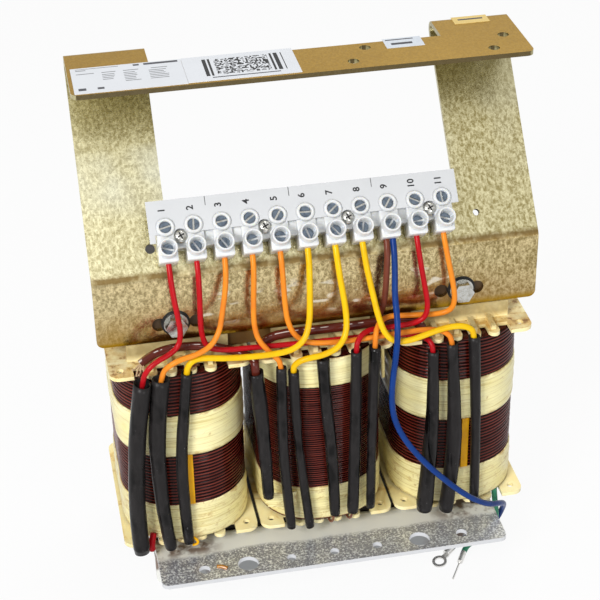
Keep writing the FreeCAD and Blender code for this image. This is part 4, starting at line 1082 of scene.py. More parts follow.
@dataclass
class Coil:
    """One coil: its turns of wire and its two bands of tape."""

    side: CoilSide
    pitch: float
    finish: Finish
    upper: Band
    lower: Band
    outline: CoilOutline = CoilOutline()
    low: float = 33.3
    high: float = 117.8
    wire_height: float = 0.62
    crown: float = 0.985
    loose: float = 0.05
    sag: float = 0.16
    wall: float = 10.2
    samples: int = 7
    inner_lip: float = 0.1
    wander: float = 0.02
    tape: float = 0.38
    tape_rows: int = 30
    inset: float = 0.25
    edge_drop: float = 0.15
    ripple: float = 0.09
    layer: float = 0.10
    layer_turns: float = 19.0
    wave: float = 0.06
    low_waves: Sequence[int] = (2, 3, 5, 7, 11)
    high_waves: Sequence[int] = (2, 4, 6, 9)

    def shell(self, offsets: np.ndarray, heights: np.ndarray) -> Parts:
        """A closed ring: the outline, moved outwards by an offset, at each of a loop of heights.

        Args:
            offsets: (rows, columns) or (rows, 1) distance outwards from the outline.
            heights: The same for height above the floor.

        Returns:
            Points and faces.
        """
        line, normal, _ = self.outline.walk()
        offsets, heights, _ = np.broadcast_arrays(offsets, heights, np.empty((1, len(line))))
        flat = line[None] + offsets[..., None] * normal[None]
        points = np.stack([flat[..., 0] + self.side.value, flat[..., 1], heights], axis=-1)
        return points.reshape(-1, 3), ring_faces(len(offsets), len(line), True)

    def wind(self) -> None:
        """Makes the wire.

        Across a turn the surface is a half ellipse, offset = h (sqrt(1 - c^2) - 1) with c from -1 to 1.
        """
        turns = int((self.high - self.low) / self.pitch)
        step = (self.high - self.low) / turns
        rng = np.random.default_rng(self.side.seed)
        c = np.linspace(-self.crown, self.crown, self.samples)
        bulge = self.wire_height * (np.sqrt(1 - c**2) - 1)
        push = np.minimum(rng.normal(0.0, self.loose, turns), self.loose)
        offset = (bulge[None] + push[:, None]).ravel() - self.loose
        height = ((np.arange(turns)[:, None] + 0.5 + 0.5 * c[None]) * step + self.low).ravel()
        _, _, along = self.outline.walk()
        wander = rng.uniform(0, 6, (len(height), 1)) * self.wander
        lean = self.sag * np.sin(along[None] * FULL_TURN / along.max() + wander)
        tilt = lean * np.sin(np.linspace(0, math.pi, len(height)))[:, None]
        offsets = np.concatenate([offset, [-self.wall, -self.wall]])[:, None]
        inside = np.repeat([[self.high - self.inner_lip], [self.low + self.inner_lip]], len(along), axis=1)
        points, faces = self.shell(offsets, np.vstack([height[:, None] + tilt, inside]))
        level = np.concatenate([height - self.low, [0.0, 0.0]])[:, None] * (self.pitch / step)
        flow = np.stack(np.broadcast_arrays(along[None], level, 0.0), axis=-1)
        piece = mesh_object("turns_" + self.side.word, points, faces, flow.reshape(-1, 3))
        add_piece(piece, self.finish, "winding_wire", ["winding_" + self.side.word])

    def wrap(self, band: Band, word: str) -> None:
        """Makes a band of tape that follows the turns a little, with slow waves and uneven edges.

        The outer offset is tape + ripple cos(2 pi z / pitch) + waves up and along the band, and the inner
        one is just inside the wire. Each edge is a sum of sines along the band, the k-th 1 / k high.
        """
        _, _, along = self.outline.walk()
        rng = np.random.default_rng(int(band.low * 10) + 100 + self.side.seed)
        up = np.linspace(0, 1, self.tape_rows)[:, None]
        phase = rng.uniform(0, FULL_TURN, 12)
        turns = along[None] * FULL_TURN / (along.max() + 1.0)
        low, high = (height + sum(np.sin(turns * k + phase[k - back]) / k for k in waves) * band.ragged
                     for height, waves, back in ((band.low, self.low_waves, 0),
                                                 (band.high, self.high_waves, 1)))
        z = low * (1 - up) + high * up
        ripple = self.ripple * np.cos(FULL_TURN * z / self.pitch)
        layers = self.layer * np.sin(up * self.layer_turns + 2.0 * np.sin(turns * 2 + phase[0]))
        slow = self.wave * np.sin(turns * 6 + phase[3] + up * 4)
        edge = np.clip(np.minimum(up, 1 - up) * self.tape_rows / 2, 0, 1)
        offset = self.tape + (ripple + layers + slow) * edge - self.edge_drop * (1 - edge)
        z = np.vstack([z, z[-1:], z[:1]])
        points, faces = self.shell(np.vstack([offset, np.full((2, len(along)), -self.inset)]), z)
        rim = np.concatenate([np.abs(up * 2 - 1) ** 3, [[1.0], [1.0]]])
        flow = np.stack(np.broadcast_arrays(along[None], z, rim), axis=-1).reshape(-1, 3)
        piece = mesh_object(f"tape_band_{self.side.word}_{word}", points, faces, flow)
        add_piece(piece, Finish.TAPE, "band_tape", [f"tape_{self.side.word}_{word}"])

    def make(self) -> None:
        """Builds the coil."""
        self.wind()
        self.wrap(self.upper, "upper")
        self.wrap(self.lower, "lower")


@dataclass
class Sleeve:
    """A shrunk sleeve: its radius at the mouth, middle and foot, and its route from the mouth down."""

    radii: tuple[float, float, float]
    route: Sequence[Point]
    stations: Sequence[float] = (0.0, 0.08, 0.55, 0.97, 1.0)
    foot_round: float = 0.88
    bump: float = 0.012
    oval: float = 0.07
    wall: float = 0.45
    mouth: float = 8.0
    rows: int = 40
    sides: int = 28

    def build(self, seed: int) -> Parts:
        """The outside from foot to mouth, then the bore down to a closed floor, as one profile.

        Args:
            seed: Number that sets this sleeve's own bumps.

        Returns:
            Points and faces.
        """
        rng = np.random.default_rng(seed)
        line = smooth_route(self.route, 12)
        length = np.linalg.norm(np.diff(line, axis=0), axis=1).sum()
        t = np.linspace(1.0, 0.0, self.rows)
        top, middle, foot = self.radii
        radius = np.interp(t, self.stations, (top, top, middle, foot, foot * self.foot_round))
        phase = rng.uniform(0, FULL_TURN, 3)
        radius = radius * (1 + sum(np.sin(t * k * 3.1 + p) for k, p in zip((3, 5, 8), phase)) * self.bump)
        bore = top - self.wall
        deep = self.mouth / length
        steps = np.concatenate([[1.0], t, [0.0, deep, deep]])
        radii = np.concatenate([[0.0], radius, [bore, bore, 0.0]])
        return tube(line, steps, radii, self.sides, self.oval, float(phase[0]))


SLEEVES = {
    CoilSide.LEFT: (
        Sleeve((4.0, 3.6, 3.4), [(-76.6, -42.6, 119.0), (-80.2, -42.6, 96.0), (-81.8, -42.5, 76.0),
            (-83.2, -42.2, 52.0), (-82.4, -41.7, 31.6)]),
        Sleeve((3.5, 3.1, 2.9), [(-68.9, -42.1, 119.8), (-72.4, -42.4, 96.0), (-72.7, -42.5, 74.0),
            (-72.0, -42.4, 50.0), (-69.9, -42.1, 32.4)]),
        Sleeve((2.5, 2.5, 2.3), [(-58.3, -41.6, 121.0), (-60.2, -42.0, 104.0), (-62.6, -42.1, 84.0),
            (-63.3, -42.1, 62.0), (-62.0, -42.0, 33.6)])),
    CoilSide.MIDDLE: (
        Sleeve((3.2, 2.7, 2.35), [(-30.1, -41.5, 117.0), (-28.6, -41.8, 97.0), (-27.4, -41.8, 75.0),
            (-26.6, -41.5, 51.8)]),
        Sleeve((2.05, 2.1, 2.2), [(-19.6, -42.0, 118.1), (-19.9, -42.3, 92.0), (-19.7, -42.3, 66.0),
            (-17.1, -42.0, 34.2)]),
        Sleeve((2.3, 2.0, 2.05), [(-14.6, -42.0, 115.6), (-14.0, -42.3, 92.0), (-12.3, -42.3, 66.0),
            (-8.8, -42.0, 33.0)]),
        Sleeve((2.7, 2.45, 2.3), [(-2.2, -42.0, 120.2), (-1.4, -42.3, 98.0), (1.2, -42.3, 73.0),
            (2.3, -42.0, 38.0)]),
        Sleeve((2.4, 2.35, 2.4), [(11.8, -42.0, 121.6), (11.5, -42.3, 96.0), (11.0, -42.3, 68.0),
            (10.1, -42.0, 38.0)]),
        Sleeve((2.45, 2.25, 2.1), [(19.8, -41.5, 122.4), (19.0, -41.8, 96.0), (18.4, -41.8, 68.0),
            (18.2, -41.5, 39.0)])),
    CoilSide.RIGHT: (
        Sleeve((2.2, 3.0, 4.0), [(44.2, -43.0, 117.4), (44.7, -43.4, 94.0), (44.0, -43.6, 68.0),
            (41.8, -43.8, 35.6)]),
        Sleeve((2.3, 3.2, 3.3), [(52.3, -43.0, 120.2), (54.1, -43.2, 90.0), (54.6, -43.2, 62.0),
            (51.8, -43.0, 32.8)]),
        Sleeve((2.3, 2.2, 2.3), [(62.0, -41.7, 121.4), (63.6, -42.0, 92.0), (64.6, -42.0, 64.0),
            (65.0, -41.7, 34.4)])),
}


def make_sleeves() -> None:
    """Builds the sleeves of each coil as one piece in place of their CAD node."""
    for side, sleeves in SLEEVES.items():
        parts = [sleeve.build(side.seed + index) for index, sleeve in enumerate(sleeves)]
        solid("shrunk_sleeves_" + side.word, parts, Finish.SLEEVE, "sleeve_black", ["sleeves_" + side.word])


@dataclass
class Lead:
    """A lead from a way of the strip to a sleeve. Its node's name has its way, from 1, and its colour."""

    node: str
    points: Sequence[Point]
    sleeve: Optional[tuple[CoilSide, int, float]] = None
    offset: float = 0.0
    radius: float = 1.3
    slim: float = 0.15
    grip: float = 6.0
    clear: float = 1.0
    clamp: float = 4.5
    deep: float = 6.5

    def entry(self) -> list[Point]:
        """Two points on the sleeve's axis, above its mouth and inside it."""
        if self.sleeve is None:
            return []
        side, index, rise = self.sleeve
        mouth, below = np.array(SLEEVES[side][index].route[:2], float)
        axis = (below - mouth) / np.linalg.norm(below - mouth)
        return [tuple(mouth - axis * rise), tuple(mouth + axis * self.deep)]

    def route(self) -> list[Point]:
        """All control points, from the clamp on."""
        x = WAYS.x(int(self.node.split("_")[1]) - 1) + self.offset
        return [SLOPE.at(x, self.grip, self.clamp), SLOPE.at(x, self.clear, self.clamp), *self.points,
                *self.entry()]

    def make(self) -> bpy.types.Object:
        """Builds the lead as a smooth curve in place of its CAD tube."""
        colour = self.node.split("_")[2]
        thin = self.slim if colour in ("red", "orange") else 0.0
        piece = curve_piece("wire_" + self.node, self.route(), self.radius - thin)
        return add_piece(piece, Finish[colour.upper()], "lead_" + colour, [self.node])


LEADS = (
    Lead("lead_1_red", [(-61.0, -33.2, 153.5), (-60.0, -35.5, 145.5), (-59.2, -36.8, 138.0),
         (-60.2, -38.0, 132.2), (-64.5, -40.0, 129.6), (-70.2, -42.0, 128.4),
         (-74.4, -42.8, 125.2)], (CoilSide.LEFT, 0, 2.2)),
    Lead("lead_2_red", [(-50.3, -33.0, 152.5), (-50.7, -34.4, 143.5), (-50.8, -35.2, 134.5),
         (-48.8, -35.2, 127.4), (-42.0, -35.0, 125.2), (-33.0, -34.8, 124.8), (-20.0, -34.8, 124.2),
         (-4.0, -34.8, 123.7), (12.0, -34.8, 123.4), (25.0, -34.9, 123.0), (34.2, -35.0, 122.2),
         (39.2, -36.2, 121.6), (42.1, -38.8, 121.6), (43.5, -41.2, 120.8)], (CoilSide.RIGHT, 0, 0.8)),
    Lead("lead_3_orange", [(-39.8, -33.2, 153.0), (-41.8, -35.6, 144.0), (-43.6, -37.8, 136.5),
         (-47.6, -40.6, 131.6), (-54.0, -42.8, 129.8), (-60.4, -43.8, 129.2),
         (-65.4, -43.9, 127.0)], (CoilSide.LEFT, 1, 2.6)),
    Lead("lead_4_orange", [(-28.3, -33.0, 152.5), (-29.0, -34.6, 144.0), (-29.2, -35.3, 136.5),
         (-28.2, -36.8, 130.2), (-25.2, -38.9, 126.0), (-21.6, -41.0, 122.8)], (CoilSide.MIDDLE, 1, 2.0)),
    Lead("lead_5_orange", [(-16.2, -33.0, 152.0), (-16.1, -34.6, 143.5), (-15.4, -35.8, 135.5),
         (-12.8, -37.0, 129.2), (-7.4, -37.9, 125.6), (1.5, -38.0, 124.4), (12.0, -38.0, 124.3),
         (24.0, -38.1, 124.7), (34.0, -38.4, 125.4), (42.0, -38.8, 125.8), (47.2, -40.2, 125.6),
         (50.4, -41.9, 124.6)], (CoilSide.RIGHT, 1, 1.6)),
    Lead("lead_6_yellow", [(-5.5, -33.3, 152.5), (-6.0, -35.6, 143.5), (-6.8, -38.4, 135.8),
         (-9.4, -41.2, 129.6), (-14.6, -42.8, 126.4), (-23.0, -42.9, 125.5), (-33.0, -42.0, 125.1),
         (-41.8, -41.1, 125.2), (-48.4, -40.9, 126.2), (-53.2, -41.2, 126.9), (-56.0, -41.6, 126.2),
         (-57.8, -41.9, 124.0)], (CoilSide.LEFT, 2, 0.5)),
    Lead("lead_7_yellow", [(7.0, -33.0, 152.5), (8.2, -34.8, 143.5), (8.9, -37.0, 135.5),
         (8.0, -40.0, 128.8), (4.2, -42.6, 124.6), (-2.0, -43.8, 122.8), (-7.8, -43.8, 122.2),
         (-11.8, -43.0, 120.9), (-14.0, -42.3, 118.6)], (CoilSide.MIDDLE, 2, 1.2)),
    Lead("lead_8_yellow", [(18.6, -33.2, 152.5), (20.2, -35.6, 143.8), (21.5, -38.7, 135.8),
         (23.4, -42.2, 128.8), (27.4, -43.9, 124.8), (34.0, -43.8, 124.5), (42.0, -43.0, 126.4),
         (49.6, -42.2, 127.8), (56.0, -41.9, 127.6), (59.8, -41.8, 125.9)], (CoilSide.RIGHT, 2, 1.9)),
    Lead("lead_9_brown", [(26.5, -33.0, 152.5), (26.0, -33.6, 144.5), (25.4, -33.0, 137.0),
         (24.6, -31.2, 131.9), (24.3, -29.9, 128.2)], offset=-1.35),
    Lead("lead_10_red", [(41.0, -33.0, 152.5), (42.4, -34.2, 143.5), (43.6, -35.3, 135.5),
         (42.6, -35.7, 129.8), (38.0, -35.6, 127.3), (31.0, -35.3, 126.8), (24.2, -35.2, 126.6),
         (18.4, -36.4, 127.4), (14.6, -39.4, 127.4), (12.6, -41.2, 125.6)], (CoilSide.MIDDLE, 4, 1.9)),
    Lead("lead_11_orange", [(52.6, -33.6, 152.5), (54.2, -34.6, 144.0), (55.2, -35.0, 136.4),
         (54.0, -34.3, 130.8), (49.0, -33.0, 128.8), (41.5, -32.4, 129.0), (34.0, -32.5, 129.8),
         (27.8, -33.2, 130.9), (23.4, -35.8, 130.8), (20.9, -39.0, 128.9)], (CoilSide.MIDDLE, 5, 3.0)),
)


@dataclass
class LooseLeads:
    """The two free leads: the long blue one with its ring lug, and the short green one with its pin."""

    blue_points: Sequence[Point] = (
        (29.7, -34.0, 152.5), (28.8, -37.4, 144.0), (28.9, -41.8, 136.0), (28.2, -46.0, 128.8),
        (27.0, -48.0, 120.0), (25.9, -48.0, 110.0), (25.5, -47.6, 99.5), (26.6, -47.2, 89.5),
        (29.6, -47.6, 81.0), (34.6, -49.0, 72.5), (41.2, -50.6, 64.0), (48.6, -51.4, 55.8),
        (56.4, -51.0, 47.4), (64.2, -48.8, 39.8), (71.2, -45.0, 33.6), (77.6, -40.0, 29.4),
        (81.6, -34.6, 24.6), (82.2, -30.8, 18.4), (80.6, -29.3, 12.0), (76.6, -29.2, 6.6),
        (71.0, -29.6, 3.9), (64.6, -30.4, 3.4), (60.2, -33.6, 3.74), (56.4, -36.4, 3.1))
    green_points: Sequence[Point] = (
        (76.9, -33.2, 33.1), (77.6, -33.1, 26.0), (78.6, -32.9, 19.0), (78.9, -32.8, 12.4),
        (77.6, -32.8, 8.4), (74.8, -32.7, 5.5), (71.2, -32.9, 3.9), (67.5, -33.7, 3.4),
        (64.22, -35.78, 2.9), (62.3, -38.8, 2.6))
    blue_length: float = 216.5
    green_length: float = 44.1

    def make(self) -> None:
        lead = Lead("lead_9_blue", self.blue_points, offset=1.35)
        blue, start = lead.make(), lead.route()[0]
        tuple(v * MM for v in start)
        green = curve_piece("wire_pin_lead", self.green_points, lead.radius)
        add_piece(green, Finish.GREEN, "lead_green", ["pin_lead"])


@dataclass
class BrownCables:
    """The two glossy brown cables on top of the formers."""

    left: Sequence[Point] = (
        (-76.0, -33.6, 122.6), (-71.4, -32.4, 125.6), (-63.5, -31.2, 127.0), (-54.0, -30.9, 126.6),
        (-45.0, -30.9, 124.8), (-38.4, -31.6, 122.6), (-34.2, -33.2, 121.4), (-31.8, -36.0, 121.4),
        (-30.8, -38.6, 121.6), (-30.3, -40.6, 120.5), (-30.2, -41.5, 118.3), (-29.7, -41.6, 111.5))
    right: Sequence[Point] = (
        (-26.8, -30.8, 122.3), (-22.8, -29.8, 125.2), (-15.6, -29.4, 126.2), (-3.0, -29.4, 126.0),
        (10.0, -29.4, 125.9), (22.0, -29.4, 126.0), (33.0, -29.5, 126.4), (39.0, -30.6, 125.6),
        (42.4, -33.2, 123.2), (43.1, -34.2, 118.4))

    def make(self) -> None:
        """Builds both cables."""
        for word, route, radius in (("left", self.left, 1.8), ("right", self.right, 2.0)):
            add_piece(curve_piece("brown_cable_" + word, route, radius), Finish.CABLE, "cable_brown",
                      ["cable_" + word])


@dataclass
class WireEnds:
    """Ends of enamelled wire that come out of the windings, and frayed insulation at the left cable."""

    brown: Sequence[Sequence[Point]] = (
        ((-31.4, -34.0, 118.5), (-31.6, -37.6, 121.0), (-31.4, -40.9, 120.4), (-31.0, -41.4, 114.0)),
        ((-28.6, -34.0, 118.5), (-28.4, -38.0, 121.2), (-29.0, -41.2, 120.2), (-29.3, -41.6, 113.0)),
        ((-52.4, -33.0, 118.2), (-53.2, -36.0, 120.6), (-56.0, -39.5, 122.2), (-57.9, -41.4, 120.8),
         (-58.4, -41.7, 113.0)),
        ((43.2, -33.4, 118.0), (43.4, -36.6, 120.4), (43.8, -40.6, 120.2), (44.0, -42.6, 117.6),
         (44.2, -43.0, 110.0)),
        ((51.8, -33.0, 118.2), (52.0, -36.6, 121.0), (52.0, -40.6, 121.8), (52.2, -42.8, 119.8),
         (52.6, -43.0, 112.0)))
    lower: Sequence[Sequence[Point]] = (
        ((-82.3, -41.8, 34.0), (-81.6, -41.0, 30.2), (-79.0, -38.0, 29.4), (-77.2, -34.5, 31.8)),
        ((-70.2, -42.2, 34.4), (-69.6, -41.2, 30.8), (-68.4, -37.8, 29.6), (-68.1, -34.0, 32.2)),
        ((41.6, -43.0, 38.0), (41.4, -42.0, 32.4), (42.4, -38.0, 30.2), (43.2, -34.0, 32.4)),
        ((51.8, -43.0, 35.0), (51.6, -41.8, 31.0), (51.8, -38.0, 29.8), (51.9, -34.0, 32.2)),
        ((10.2, -42.0, 40.0), (10.0, -41.0, 34.4), (9.2, -37.6, 30.4), (8.1, -34.0, 32.2)),
        ((2.2, -42.0, 40.0), (1.8, -41.2, 34.0), (0.8, -38.0, 30.2), (0.2, -34.0, 32.2)))
    fray: Sequence[Sequence[Point]] = (
        ((-75.2, -33.4, 123.4), (-77.0, -35.0, 121.6), (-78.0, -36.8, 120.9), (-78.4, -38.2, 119.8)),
        ((-75.4, -34.0, 123.2), (-76.4, -36.2, 121.8), (-76.6, -38.4, 121.2), (-77.6, -40.2, 121.6)),
        ((-75.0, -34.2, 122.8), (-75.4, -36.4, 121.4), (-75.0, -38.6, 121.0), (-74.2, -40.0, 122.0)),
        ((-75.6, -33.0, 122.8), (-77.6, -34.0, 121.6), (-78.8, -35.6, 121.2), (-79.8, -36.0, 121.8)))

    def make(self) -> None:
        """Builds each group as one piece of thin tubes."""
        groups = (("enamelled_ends", self.brown + self.lower, 0.55, Finish.WIRE_END),
                  ("frayed_ends", self.fray, 0.4, Finish.FRAY))
        for name, routes, radius, finish in groups:
            parts = [thread(route, radius, rows=18, sides=10) for route in routes]
            solid(name, parts, finish, "winding_wire")


@dataclass
class Tail:
    """A short end of wire or film that shows between the larger pieces."""

    name: str
    finish: Finish
    slot: str
    radius: float
    route: Sequence[Point]

    def make(self) -> None:
        """Builds the end as one closed tube."""
        solid(self.name, [thread(self.route, self.radius, rows=20, sides=14)], self.finish, self.slot)


TAILS = (
    Tail("red_tail", Finish.RED, "lead_red", 1.5,
         [(-76.6, -37.2, 37.4), (-77.4, -38.4, 35.0), (-77.9, -38.9, 32.2), (-77.9, -38.7, 29.6)]),
    Tail("amber_tail", Finish.AMBER, "amber_strip", 0.6,
         [(-61.0, -41.0, 36.5), (-59.4, -41.2, 34.8), (-58.0, -41.7, 33.2), (-58.4, -41.6, 31.6),
          (-60.4, -41.0, 31.0)]),
    Tail("varnish_drop", Finish.DROP, "amber_strip", 0.9,
         [(-51.4, -50.5, 25.1), (-49.9, -51.1, 25.4), (-48.6, -51.8, 25.3), (-47.4, -52.5, 25.0)]),
    Tail("amber_side", Finish.AMBER, "amber_strip", 0.5,
         [(23.4, -30.6, 101.0), (23.3, -31.0, 92.0), (23.2, -31.0, 83.5)]),
    Tail("cream_side", Finish.CREAM, "band_tape", 0.7,
         [(25.4, -31.4, 116.0), (25.8, -31.2, 108.0), (26.0, -30.6, 99.0)]),
)


@dataclass
class TapeFlap:
    """The loose, torn end of the middle coil's lower band."""

    outline: Sequence[Point2] = (
        (-14.0, 50.6), (-18.0, 50.3), (-22.4, 50.7), (-26.2, 50.2), (-27.4, 48.4), (-26.0, 47.6),
        (-27.8, 46.0), (-25.8, 45.0), (-26.6, 43.6), (-23.6, 43.0), (-20.0, 43.5), (-17.0, 43.0),
        (-14.0, 43.4))
    near_y: float = -38.9
    far_y: float = -37.6
    thickness: float = 0.35

    def make(self) -> None:
        """Loops of the middle, the rim, and both again behind; y = near + (far - near) t^2."""
        rim = np.array(self.outline)
        middle = np.repeat(rim.mean(axis=0)[None], len(rim), axis=0)
        loops = []
        for flat, back in ((middle, 0.0), (rim, 0.0), (rim, self.thickness), (middle, self.thickness)):
            t = (rim[:, 0].max() - flat[:, 0]) / np.ptp(rim[:, 0])
            y = self.near_y + (self.far_y - self.near_y) * t**2 + back
            loops.append(np.stack([flat[:, 0], y, flat[:, 1]], axis=1))
        points = np.vstack(loops)
        flow = np.stack([points[:, 0], points[:, 2], np.repeat((0.0, 1.0, 1.0, 0.0), len(rim))], axis=1)
        solid("tape_flap", [(points, ring_faces(len(loops), len(rim)))], Finish.TAPE, "band_tape",
              smooth=False, flow=flow)


@dataclass
class TerminalStrip:
    """The strip's moulding, its clamp screws and the domed screws that hold it, drawn on the slope.

    Profiles are pairs of a radius, or of a share of an outline's size, and a height over the sheet.
    """

    half_block: float = 3.9
    block_s: Point2 = (4.2, 23.25)
    web_s: Point2 = (9.6, 18.6)
    lower_s: float = 9.35
    upper_s: float = 18.1
    fixing_s: float = 14.0
    fixing_ways: Sequence[float] = (0.5, 3.5, 6.5, 9.5)
    head_radius: float = 2.2
    half_slot: float = 0.38
    corner: float = 0.8
    cross_turn: float = 0.4
    lower_top: float = 10.4
    upper_top: float = 10.9
    block: Sequence[Point2] = (
        (0.0, 0.5), (1.0, 0.5), (1.0, 9.5), (0.985, 9.85), (0.94, 10.0), (0.0, 10.0))
    web: Sequence[Point2] = ((0.0, 0.5), (1.0, 0.5), (1.0, 8.3), (0.999, 8.6), (0.0, 8.6))
    head: Sequence[Point2] = ((0.0, 1.2), (1.0, 1.2), (1.0, 0.15), (0.94, 0.0), (0.0, 0.0))
    floor: Sequence[Point2] = ((0.0, 1.4), (2.2, 1.4), (2.2, 0.7), (0.0, 0.7))
    bar: Sequence[Point2] = ((-1.5, -0.28), (1.5, -0.28), (1.5, 0.28), (-1.5, 0.28))
    # Levels of the black bars that paint the shade inside each dome's cross recess.
    recess: Sequence[Point2] = ((0.0, 11.0), (1.0, 11.0), (1.0, 11.8), (0.0, 11.8))
    lower_tower: Sequence[Point2] = (
        (0.0, 8.0), (4.0, 8.0), (4.0, 9.9), (3.8, 10.5), (3.72, 14.5), (3.62, 14.95), (3.4, 15.2),
        (3.15, 15.2), (2.95, 14.95), (2.75, 13.6), (2.45, 11.4), (2.4, 8.6), (0.0, 8.6))
    upper_tower: Sequence[Point2] = (
        (0.0, 8.8), (3.25, 8.8), (3.25, 10.85), (3.85, 10.86), (3.7, 11.3), (3.3, 11.75), (2.95, 11.9),
        (2.6, 11.8), (2.4, 11.4), (2.32, 9.6), (0.0, 9.6))
    dome: Sequence[Point2] = (
        (0.0, 8.0), (2.75, 8.0), (2.8, 9.6), (2.65, 10.4), (2.2, 11.1), (1.6, 11.5), (0.8, 11.7),
        (0.0, 11.75))

    def turned(self, x: float, s: float, profile: Sequence[Point2], sides: int = 36) -> Parts:
        """A solid of revolution: circles of radius r at height n over the sheet, from pole to pole."""
        radius, height = np.array(profile).T
        angle = np.linspace(0, FULL_TURN, sides, endpoint=False)[None]
        u = x + radius[:, None] * np.cos(angle)
        v = s + radius[:, None] * np.sin(angle)
        points = np.stack(SLOPE.at(u, v, np.broadcast_to(height[:, None], u.shape)), axis=-1)
        return points.reshape(-1, 3), ring_faces(len(radius), sides)

    def pad(self, outline: np.ndarray, levels: Sequence[Point2]) -> Parts:
        """A pad over an (n, 2) outline: each level is a share of its size about its middle, at a height."""
        middle = outline.mean(axis=0)
        rows = []
        for share, height in levels:
            flat = middle + (outline - middle) * share
            rows.append(np.stack(SLOPE.at(flat[:, 0], flat[:, 1], np.full(len(flat), height)), axis=1))
        return np.vstack(rows), ring_faces(len(levels), len(outline))

    def rounded(self, x0: float, x1: float, s0: float, s1: float) -> np.ndarray:
        """The outline of a rectangle with rounded corners."""
        half = np.array([x1 - x0, s1 - s0]) / 2 - self.corner
        middle = np.array([x0 + x1, s0 + s1]) / 2
        a = (np.arange(4)[:, None] + np.linspace(0, 1, 6)) * math.pi / 2
        arcs = self.corner * np.stack([np.cos(a), np.sin(a)], axis=-1)
        return (middle + np.array(CORNERS)[:, None] * half + arcs).reshape(-1, 2)

    def half_head(self, x: float, s: float, turn: float, top: float) -> Parts:
        """Half of a slotted head: the arc beyond the slot's edge, closed by the edge."""
        start = math.asin(self.half_slot / self.head_radius)
        a = np.linspace(start, math.pi - start, 16)
        outline = self.head_radius * np.stack([np.cos(a), np.sin(a)], axis=1)
        return self.pad(rotated(outline, turn) + (x, s), [(share, top - drop) for share, drop in self.head])

    def make(self) -> None:
        """Builds the moulding, the screws, the bright floors of their slots and the painted shade of the
        domes' cross recesses.
        """
        rng = np.random.default_rng(31)
        moulding, heads, floors, domes, marks = [], [], [], [], []
        for way in range(WAYS.count):
            x = WAYS.x(way)
            block = self.rounded(x - self.half_block, x + self.half_block, *self.block_s)
            moulding += [self.pad(block, self.block), self.turned(x, self.lower_s, self.lower_tower),
                         self.turned(x, self.upper_s, self.upper_tower)]
            for s, top in ((self.lower_s, self.lower_top), (self.upper_s, self.upper_top)):
                turn = rng.uniform(0, math.pi)
                heads += [self.half_head(x, s, turn, top), self.half_head(x, s, turn + math.pi, top)]
                floors.append(self.turned(x, s, [(radius, top - drop) for radius, drop in self.floor], 24))
        web = self.rounded(WAYS.x(0), WAYS.x(WAYS.count - 1), *self.web_s)
        moulding.append(self.pad(web, self.web))
        for way in self.fixing_ways:
            place = (WAYS.x(way), self.fixing_s)
            domes.append(self.turned(*place, self.dome))
            # Painted shade: a black cross on each dome stands in for the shade inside its cross recess.
            marks += [self.pad(rotated(np.array(self.bar), turn) + place, self.recess)
                      for turn in (self.cross_turn, self.cross_turn + math.pi / 2)]
        clamps = ["upper_clamp_screws", "lower_clamp_screws"]
        solid("strip_moulding", moulding, Finish.STRIP, "terminal_nylon", ["terminal_housing"])
        solid("clamp_heads", heads, Finish.SCREW, "clamp_nickel", clamps, smooth=False)
        solid("slot_floors", floors, Finish.BOLT, "clamp_nickel", smooth=False)
        solid("strip_domes", domes, Finish.BOLT, "fastener_zinc", ["strip_screws"])
        solid("painted_recess_shades", marks, Finish.BUSH, "fastener_zinc", smooth=False)


@dataclass
class MarkerPrint:
    """The plain numbers and the group marks printed on the card."""

    top: float = 10.82
    numbers_s: float = 24.9
    height: float = 3.8
    bold: float = 0.10
    groups: Sequence[float] = (1.5, 4.5, 7.5)
    line_s: Point2 = (25.2, 28.9)
    half_line: float = 0.13
    nudge: float = -0.6

    def number(self, way: int) -> bpy.types.Mesh:
        """A way's number as a flat mesh that reads up the slope."""
        data = bpy.data.curves.new("number", "FONT")
        data.body = str(way + 1)
        data.size = self.height * MM
        data.offset = self.bold * MM
        data.align_x = "CENTER"
        data.align_y = "CENTER"
        data.resolution_u = 3
        item = bpy.data.objects.new("number", data)
        mesh = bpy.data.meshes.new_from_object(item)
        mesh.transform(SLOPE.matrix(WAYS.x(way) + self.nudge, self.numbers_s, self.top, math.pi / 2))
        bpy.data.objects.remove(item)
        return mesh

    def make(self) -> None:
        """Joins the numbers and the short lines that part the groups of ways."""
        points, faces, start = [], [], 0
        for way in range(WAYS.count):
            mesh = self.number(way)
            coordinates = np.empty(len(mesh.vertices) * 3)
            mesh.vertices.foreach_get("co", coordinates)
            points.append(coordinates.reshape(-1, 3))
            faces += [[corner + start for corner in face.vertices] for face in mesh.polygons]
            start += len(mesh.vertices)
        low, high = self.line_s
        for way in self.groups:
            left, right = WAYS.x(way) - self.half_line, WAYS.x(way) + self.half_line
            corners = ((left, low), (right, low), (right, high), (left, high))
            points.append(np.array([SLOPE.at(x, s, self.top) for x, s in corners]) * MM)
            faces.append(list(range(start, start + 4)))
            start += 4
        mesh = bpy.data.meshes.new("card_print")
        mesh.from_pydata(np.vstack(points).tolist(), [], faces)
        add_piece(link("card_print", mesh), Finish.INK, "card_white")


